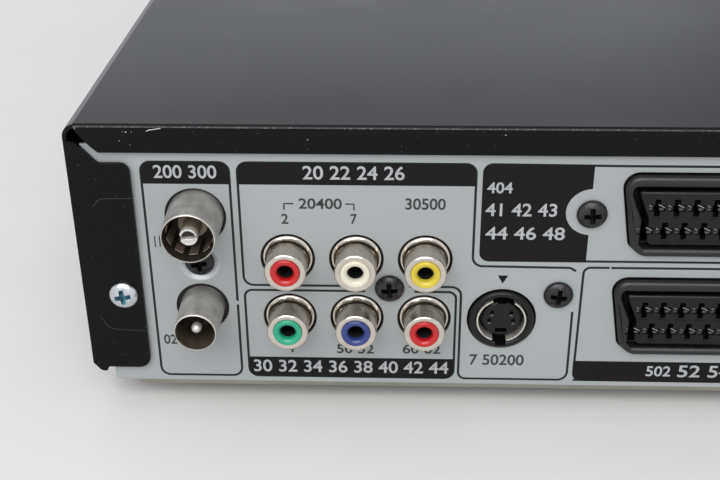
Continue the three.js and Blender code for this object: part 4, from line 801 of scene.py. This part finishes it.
def screwHead(turn, across, up, out):
    radius, rise, rim = screws["radius"], screws["rise"], screws["rim"]
    dome = [(radius * math.cos(t), rim + (rise - rim) * math.sin(t)) for t in turns(10)[:-1]]
    head = lathe([(0, 0), (radius * screws["foot"], 0), *dome, (0, rise)], 40)
    for quarter in (0, 90):
        cutter = bmesh.new()
        rings = [[cutter.verts.new((x * mm, (rise + level) * mm, z * mm)) for x, z in
                  ((-long, -thick), (long, -thick), (long, thick), (-long, thick))]
                 for level, long, thick in screws["recess"]]
        ringFaces(cutter, rings, 1)
        for ring in rings:
            cutter.faces.new(ring).material_index = 1
        head = carved(head, shifted(outward(cutter), turn=quarter))
    return shifted(shifted(head, turn=turn), across, up, out)


across, up, turn = screws["side"]
forms = [screwHead(turn, place, up, coverOut) for place in (across, coverWidth - 2 * datumInset - across)]
bevelled(piece("cover_screws", together(*forms), ["screw_zinc", "screw_recess"], origin),
         screws["edge"])
# the dark screws' cross recesses take a near-black, dull finish: painted shade in the recess
forms = [screwHead(turn, across, up, 0) for across, up, turn in screws["dark"]]
forms.append(screwHead(screws["seatTurn"], *seatPlace, -panel["seatDepth"]))
bevelled(piece("panel_screws", together(*forms), ["screw_black", "recess_shade_black"], origin),
         screws["edge"])
print("screws set")


# Phono sockets: plated shells, rolled at the lip, round dished inserts
phono = {
    "radius": 4.2, "flare": 5, "bore": 3, "reach": 6.4, "lip": 0.5, "back": -1.1,
    "flareLow": -0.25, "flareHigh": 1.3, "insertRadius": 2.95, "insertFace": 6.7, "insertRound": 0.3,
    "dish": 0.95, "pinBore": 1.6, "depth": 6.5,
    "block": (4.6, 0, -12, -1.15),  # behind the digital output
}


def phonoShell():
    radius, reach, lip = phono["radius"], phono["reach"], phono["lip"]
    flare, low, high = phono["flare"], phono["flareLow"], phono["flareHigh"]
    neck = [(radius + (flare - radius) * (1 - math.sin(t)), high - (high - low) * math.cos(t))
            for t in turns(7)]
    profile = [(phono["bore"], phono["back"]), (flare, phono["back"]), (flare, low - 0.3)] + neck
    marks = [1] * (len(profile) - 1) + [0]
    crown = arc(radius - lip, reach - lip, lip, turns(7))
    marks += [1] * (len(crown) + 1)
    return lathe(profile + crown + [(phono["bore"], reach - lip / 3)], 64, marks)


def phonoInsert():
    face, radius, bore = phono["insertFace"], phono["insertRadius"], phono["pinBore"]
    corner, dish = phono["insertRound"], phono["dish"]
    outer = arc(radius - corner, face - corner, corner, turns(4))
    reach = radius - corner - bore
    funnel = [(bore + reach * (1 - math.sin(t)), face - dish * (1 - math.cos(t))) for t in turns(8)[1:]]
    back = face - phono["depth"]
    profile = [(0, back - 0.5), (radius, back - 0.5)] + outer + funnel
    marks = [0] * (len(profile) - 1)
    # the bore's walls take the second finish, near black: painted shade down the hole
    profile += [(bore, face - dish - 0.5), (bore - 0.15, face - dish - 0.8), (bore - 0.15, back), (0, back)]
    marks += [0, 1, 1, 1]
    return lathe(profile, 56, marks)


for name in phonoNames:
    place = at(*acrossUp("phono_shell_" + name))
    piece("plated_shell_" + name, phonoShell(), ["nickel_plate", "nickel_polished"], place,
          instead=["phono_shell_" + name], sharp=50)
    piece("coloured_insert_" + name, phonoInsert(), ["insert_" + name.split("_")[-1], "bore_shade_black"], place,
          instead=["phono_insert_" + name], sharp=50)
place = at(*acrossUp("digital_out_jack"))
piece("digital_shell", together(phonoShell(), tube(*phono["block"], 32)),
      ["nickel_plate", "nickel_polished"], place, instead=["digital_out_jack"], sharp=50)
piece("digital_insert", phonoInsert(), ["insert_orange", "bore_shade_black"], place, sharp=50)
print("phono sockets turned")


# Aerial sockets: thin tapered tubes with leaf springs and a split or solid centre
aerial = {
    "inRadius": 5.66, "outRadius": 4.6, "taper": 0.26, "wall": 0.34, "start": -0.7, "floor": 1,
    "inReach": 9.5, "outReach": 10.4, "crown": 0.5, "crownLean": 0.75, "shadeDiscDepth": 0.85, "shadeDiscGap": 0.02,
    "back": 0.9, "edge": 0.08, "tubeRadius": 1.8, "tubeBore": 1.38, "tubeFoot": 2.8, "tubeSink": 0.8,
    "sleeveSink": 1.1, "boreSink": 1.3, "arcs": ((12, 167), (207, 353)), "plug": (200, 350), "tilt": -1.25,
    "springs": 10, "springTurn": 12, "springArc": 22, "springSink": 2.3, "springFrom": 0.2, "springTo": 0.45,
    "disc": (2.95, 3.2), "pin": 1.05, "pinSink": 1, "pinFoot": 1.7, "collar": (1.9, 2.6),
}


def aerialTube(radius, reach):
    wall = aerial["wall"]
    mouth = radius - aerial["taper"]
    inner = mouth - wall
    crown, lean = aerial["crown"], aerial["crownLean"] * wall
    tip = [(mouth - lean * (1 - math.cos(t)), reach - crown + crown * math.sin(t)) for t in turns(5)]
    profile = [(0, aerial["start"]), (radius, aerial["start"]), (mouth + 0.03, reach - 1.2), *tip,
               (inner, reach - wall / 2), (inner, reach - 0.6), (inner, aerial["floor"]),
               (0, aerial["floor"])]
    # the inner wall and floor take the third finish, painted shade inside the tube
    return lathe(profile, 72, [0, 0, 0] + [4] * len(tip) + [2, 2, 2])


# a black disc in the gap round the tube: painted shade over the inside of the case
def shadeDisc(radius):
    gap = aerial["shadeDiscGap"]
    return tube(radius - gap, 0, -panel["sheet"] - gap, -aerial["shadeDiscDepth"], 56, 6)


def tubeSector(radius, bore, low, high, start, end, steps, mark):
    start, end = math.radians(start), math.radians(end)
    outer, inner = [circle(0, 0, size, steps, start, end) for size in (radius, bore)]
    return slab(outer + inner[::-1], low, high, (), aerial["edge"], 2, mark)


def aerialIn():
    reach, back = aerial["inReach"], aerial["back"]
    inner = aerial["inRadius"] - aerial["taper"] - aerial["wall"]
    forms = [aerialTube(aerial["inRadius"], reach), shadeDisc(panel["aerialIn"])]
    for i in range(aerial["springs"]):
        start = i * 360 / aerial["springs"] + aerial["springTurn"]
        forms.append(tubeSector(inner - aerial["springFrom"], inner - aerial["springTo"], back,
                                reach - aerial["springSink"], start, start + aerial["springArc"], 6, 3))
    disc, discFront = aerial["disc"]
    forms.append(tube(disc, 0, back, discFront, 40, 5))
    front, foot = reach - aerial["tubeSink"], aerial["tubeFoot"]
    sleeve, bore = aerial["tubeRadius"], aerial["tubeBore"]
    for start, end in aerial["arcs"]:
        forms.append(tubeSector(sleeve, bore, foot, front, start, end, 14, 1))
    plug = [math.radians(turn) for turn in aerial["plug"]]
    forms.append(slab(circle(0, 0, sleeve - 0.1, 16, *plug), foot, front - 0.2, (), 0.15, 2, 1))
    return together(*forms, tube(bore, 0, foot, front - aerial["boreSink"], 28, 2),
                    tube(sleeve + 0.03, bore + 0.1, foot, front - aerial["sleeveSink"], 28, 5))


def aerialOut():
    reach, back = aerial["outReach"], aerial["back"]
    pin, tip = aerial["pin"], reach - aerial["pinSink"]
    collar, collarFront = aerial["collar"]
    ball = arc(0, tip - pin, pin, turns(6)[:-1])
    profile = [(0, back), (collar, back), (collar, collarFront), (pin, collarFront),
               (pin, tip - aerial["pinFoot"]), *ball, (0, tip)]
    return together(aerialTube(aerial["outRadius"], reach), shadeDisc(panel["aerialOut"]),
                    lathe(profile, 28, [5, 5, 2, 2] + [1] * (len(ball) + 1)))


# the tube insides and the foot of each centre are painted dark: a brownish tone darkened as painted shade in
# the output socket, plain painted shade in the input socket
for name, form, insideShade in (("aerial_in", shifted(aerialIn(), tilt=aerial["tilt"]), "socket_shade_dark"),
                           ("aerial_out", aerialOut(), "socket_brown_and_shade")):
    piece(name + "_shell", form,
          ["dull_nickel", "pin_white", insideShade, "spring_bronze", "lip_nickel", "socket_disc", "bore_shade_black"],
          at(aerialAcross, acrossUp(name + "_socket")[1]), instead=[name + "_socket"], sharp=50)
print("aerial sockets turned")


# Four-pin video socket: domed ring, bright split shield and a core with four contacts and a key slot
video = {
    "radius": 6.8, "proud": 0.9, "crown": 0.72, "ring": 5.35, "core": 3.95, "well": 4.2, "depth": 13,
    "pins": [(-2, 1.45), (2, 1.45), (-2.5, -0.45), (2.45, -0.5)],
    "pinRadius": 0.42, "pinTall": 0.62, "pinDepth": 1.1, "lip": 0.12,
    "key": (0, -2.75, 2.4, 1), "footSlot": 2.2, "headSlot": 2, "slotFloor": -3,
    "shieldRadius": 5, "shieldWall": 0.38, "shieldBack": -3.2, "shieldOut": 0.4, "shieldUp": -0.35,
    "shieldArcs": ((112, 250), (-76, 58)),
}


def videoBody():
    radius, ring, proud, crown = video["radius"], video["ring"], video["proud"], video["crown"]
    core, floor = video["core"], video["proud"] - video["well"]
    dome = arc(radius - crown, proud - crown, crown, turns(8, math.pi)[:-1])
    body = lathe([(0, -video["depth"]), (radius, -video["depth"]), *dome, (ring, proud - 0.9), (ring, floor),
                  (core, floor), (core, -0.15), (core - 0.2, 0.05), (0, 0.05)], 72)
    tall = video["pinTall"] / video["pinRadius"]
    oval = [Vector((p.x, p.y * tall)) for p in circle(0, 0, video["pinRadius"], 14)]
    # pin holes take the near-black third finish: painted shade inside them
    for place in video["pins"]:
        body = carved(body, shifted(slab(oval, -video["pinDepth"], 2, mark=2), *place))
    across, up, wide, tall = video["key"]
    footHalf, headHalf = video["footSlot"] / 2, video["headSlot"] / 2
    for outline in (around(across, up, wide / 2, tall / 2, 0.1, 2),
                    rectangle(-footHalf, -radius + 0.7, footHalf, -core + 0.1, 0.2, 2),
                    rectangle(-headHalf, core - 0.35, headHalf, ring + 0.3, 0.2, 2)):
        body = carved(body, slab(outline, video["slotFloor"], proud + 0.5))
    # a grey patch at the lower edge of each pin hole: painted highlight on the lit lower wall
    litLips = []
    for across, up in video["pins"]:
        lip = [Vector((p.x, p.y * 0.75)) for p in circle(0, 0, video["pinRadius"] * 0.85, 12)]
        litLips.append(shifted(slab(lip, 0, video["lip"], (), 0.05, 2, 1), across, up - video["pinTall"]))
    return together(body, *litLips)


def videoShields():
    forms = []
    for ends in video["shieldArcs"]:
        line = circle(0, 0, video["shieldRadius"], 24, *[math.radians(turn) for turn in ends])
        outline = stroke(line, video["shieldWall"])
        forms.append(slab(outline, video["shieldBack"], video["shieldOut"], (), 0.1, 2))
    return shifted(together(*forms), 0, video["shieldUp"])


videoPlace = at(*acrossUp("s_video_socket"))
bevelled(piece("video_socket_body", videoBody(), ["black_plastic", "lit_wall_grey", "bore_shade_black"], videoPlace,
               instead=["s_video_socket"]), 0.06)
piece("video_socket_shields", videoShields(), ["lip_nickel"], videoPlace)
print("video socket made")


# 21-pin sockets: soft rim, stepped recess and cross-shaped contact slots with a glint of metal in each
def pinPlaces():
    return [(scart["pinAcross"] + row * scart["stagger"] + i * scart["pinPitch"],
             scart["pinUp"] + row * scart["rowPitch"]) for row in range(2) for i in range(10)]


def scartBody():
    face, back, lap, beyond = scart["face"], scart["rimBack"], scart["lap"], scart["beyond"]
    # the rim's recess wall and the first arm cut take the near-black third finish: painted shade in the
    # groove
    rim = slab(scartLoop(), back, scart["proud"], [scartRecess()], scart["crown"], 5, 3, 2, wallOnly=True)
    block = slab(scartLoop(), scart["back"], back + lap)
    island = scartRecess(scart["groove"], scart["grooveTop"], scart["grooveFoot"])
    insulator = slab(island, back - lap, face, (), scart["faceEdge"], 4)
    wide, tall = scart["arm"]
    across, up = pinPlaces()[0]
    rim = carved(rim, slab(rectangle(across - wide, up - tall, across, up + tall), 0.2, beyond, mark=2))
    low, high = scart["litPatchUps"]
    details = []
    # arm recesses take the near-black third finish: painted shade inside them
    for across, up in pinPlaces():
        arms = slab(around(across, up - scart["armDrop"], wide, tall, 0.1, 2), face - scart["armDepth"],
                    beyond, mark=2)
        deep = slab(around(across, up, *scart["slot"]), scart["slotFloor"], beyond)
        insulator = carved(carved(insulator, arms), deep)
        ridge = slab(around(0, 0, *scart["ridge"], 0.05, 2), 1, face + scart["ridgeOut"])
        details.append(shifted(ridge, across, up - scart["ridgeDrop"]))
        # grey patches under the arms: painted highlight on the lit lower walls of the arm recesses
        for left, right in scart["litPatches"]:
            foot = slab(rectangle(left, low, right, high, 0.15, 3), 0, scart["litPatchOut"], (), 0.1, 2, 1)
            details.append(shifted(foot, across, up))
    return together(rim, block, insulator, *details)


# each contact: a bright blade slanting across the right arm and a short hook in the left one
contact = {
    "blade": [(0.2, 0.5), (0.75, 0.28), (1.5, -0.12)], "bladeOut": 0.75,
    "hook": [(-0.95, -0.15), (-1.4, 0), (-1.3, 0.5)], "hookOut": 0.3, "thick": 0.13, "bladeBack": -4,
}


def contactBlades():
    forms = []
    for place in pinPlaces():
        for kind, low in (("blade", contact["bladeBack"]), ("hook", 0)):
            form = slab(stroke(flat(contact[kind]), contact["thick"]), low, contact[kind + "Out"])
            forms.append(shifted(form, *place))
    return together(*forms)


for name, place in scartPlaces.items():
    housing = piece(name + "_housing", scartBody(),
                    ["black_plastic", "lit_wall_grey", "bore_shade_black", "rim_plastic"], at(*place), instead=[name])
    bevelled(housing, 0.05, 50)
    piece(name + "_contacts", contactBlades(), ["contact_tin"], at(*place))
print("21-pin sockets made")


# Every other node keeps its shape, with soft edges and its slot's finish
softEdge = {"front_bezel": 0.5, "tray_cap": 0.35, "display_window": 0.3, "jack_flap": 0.3, "fan_frame": 0.3,
            "mains_inlet": 0.35, "bottom_chassis": 0.25, "disc_tray": 0.3, "tuner_module": 0.3}
smallEdge = 0.15
edgeAngle = 32
jackStart = 2  # from the front board's back to where its jacks are bare
for part in frame["record"]["subparts"]:
    node = nodes[part["node"]]
    if node.hide_render:
        continue
    node.data.materials.clear()
    node.data.materials.append(materials[part["material_slot"]])
    node.data.shade_smooth()
    node.data.set_sharp_from_angle(angle=math.radians(edgeAngle))
    bevelled(node, softEdge.get(part["node"], smallEdge), edgeAngle)
frontBoard = nodes["front_board"]
frontBoard.data.materials.append(materials["nickel_plate"])
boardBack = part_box("front_board")[1].y
for polygon in frontBoard.data.polygons:
    if (frontBoard.matrix_world @ polygon.center).y < boardBack - jackStart * mm:
        polygon.material_index = 1
print("other nodes finished")


# Table and light
stageLook = {
    "reach": 1.6, "backdrop": 0.8, "skyTint": "f6f8ff",
    "skyFrom": 0.3, "skyTo": 0.7, "skyLow": 0.95, "skyTop": 0.7, "skyBehind": 0.25, "skyTurn": (-0.4, 0),
    "patchLevel": 1.68, "patchFrom": 0.25, "patchTo": 0.5, "patchTurn": (-0.6, -0.3),
    "patchWide": 0.35, "patchFade": 0.3, "patchShift": 0.17,
    "lamps": {
        # place, aim, size and power
        "broad_light": ((0.35, 1.25, 1.15), (0.12, 0.13, 0), (1.7, 1.1), 26),
        "ceiling_light": ((0.4, -0.1, 1.5), (0.1, 0, 0), (1.4, 1), 3),
    },
}


def lamp(name, place, aim, size, power):
    data = bpy.data.lights.new(name, "AREA")
    data.shape = "RECTANGLE"
    data.size, data.size_y = size
    data.energy = power
    made = linked(name, data)
    made.location = place
    made.rotation_euler = (Vector(aim) - made.location).to_track_quat("-Z", "Y").to_euler()


def combined(tree, operation, *values):
    node = tree.nodes.new("ShaderNodeMath")
    node.operation = operation
    for value, socket in zip(values, node.inputs):
        tree.links.new(value, socket)
    return node.outputs[0]


# A soft sky, a bright patch behind the unit for its cover to mirror, and a plain backdrop
def floorAndLight():
    look = stageLook
    form = bmesh.new()
    bmesh.ops.create_grid(form, x_segments=8, y_segments=8, size=look["reach"])
    mesh = meshOf("table", form)
    mesh.materials.append(materials["table_white"])
    linked("table", mesh)
    for name, lampLook in look["lamps"].items():
        lamp(name, *lampLook)
    world = bpy.data.worlds.new("room")
    world.use_nodes = True
    tree = world.node_tree
    background = tree.nodes["Background"]
    background.inputs["Color"].default_value = tone(linear(look["skyTint"]), 1)
    parts = tree.nodes.new("ShaderNodeSeparateXYZ")
    tree.links.new(tree.nodes.new("ShaderNodeTexCoord").outputs["Generated"], parts.inputs[0])
    x, y, z = parts.outputs
    low = ranged(tree, z, look["skyFrom"], look["skyTo"], look["skyLow"], 0)
    front = ranged(tree, y, *look["skyTurn"], look["skyBehind"], 1)
    top = ranged(tree, z, look["skyFrom"], look["skyTo"], 0, look["skyTop"])
    patch = ranged(tree, z, look["patchFrom"], look["patchTo"], look["patchLevel"], 0)
    behind = ranged(tree, y, *look["patchTurn"], 1, 0)
    shift, wide = look["patchShift"], look["patchWide"]
    aside = combined(tree, "ABSOLUTE", ranged(tree, x, -1, 1, -1 - shift, 1 - shift))
    within = ranged(tree, aside, wide, wide + look["patchFade"], 1, 0)
    glow = combined(tree, "MULTIPLY", combined(tree, "MULTIPLY", patch, behind), within)
    level = combined(tree, "ADD", combined(tree, "MULTIPLY_ADD", low, front, top), glow)
    seen = tree.nodes.new("ShaderNodeLightPath").outputs["Is Camera Ray"]
    backdrop = ranged(tree, seen, 0, 1, 0, look["backdrop"])
    rest = combined(tree, "MULTIPLY", level, ranged(tree, seen, 0, 1, 1, 0))
    tree.links.new(combined(tree, "ADD", rest, backdrop), background.inputs["Strength"])
    scene.world = world
    scene.view_settings.view_transform = "Standard"


floorAndLight()
print("table and light set")
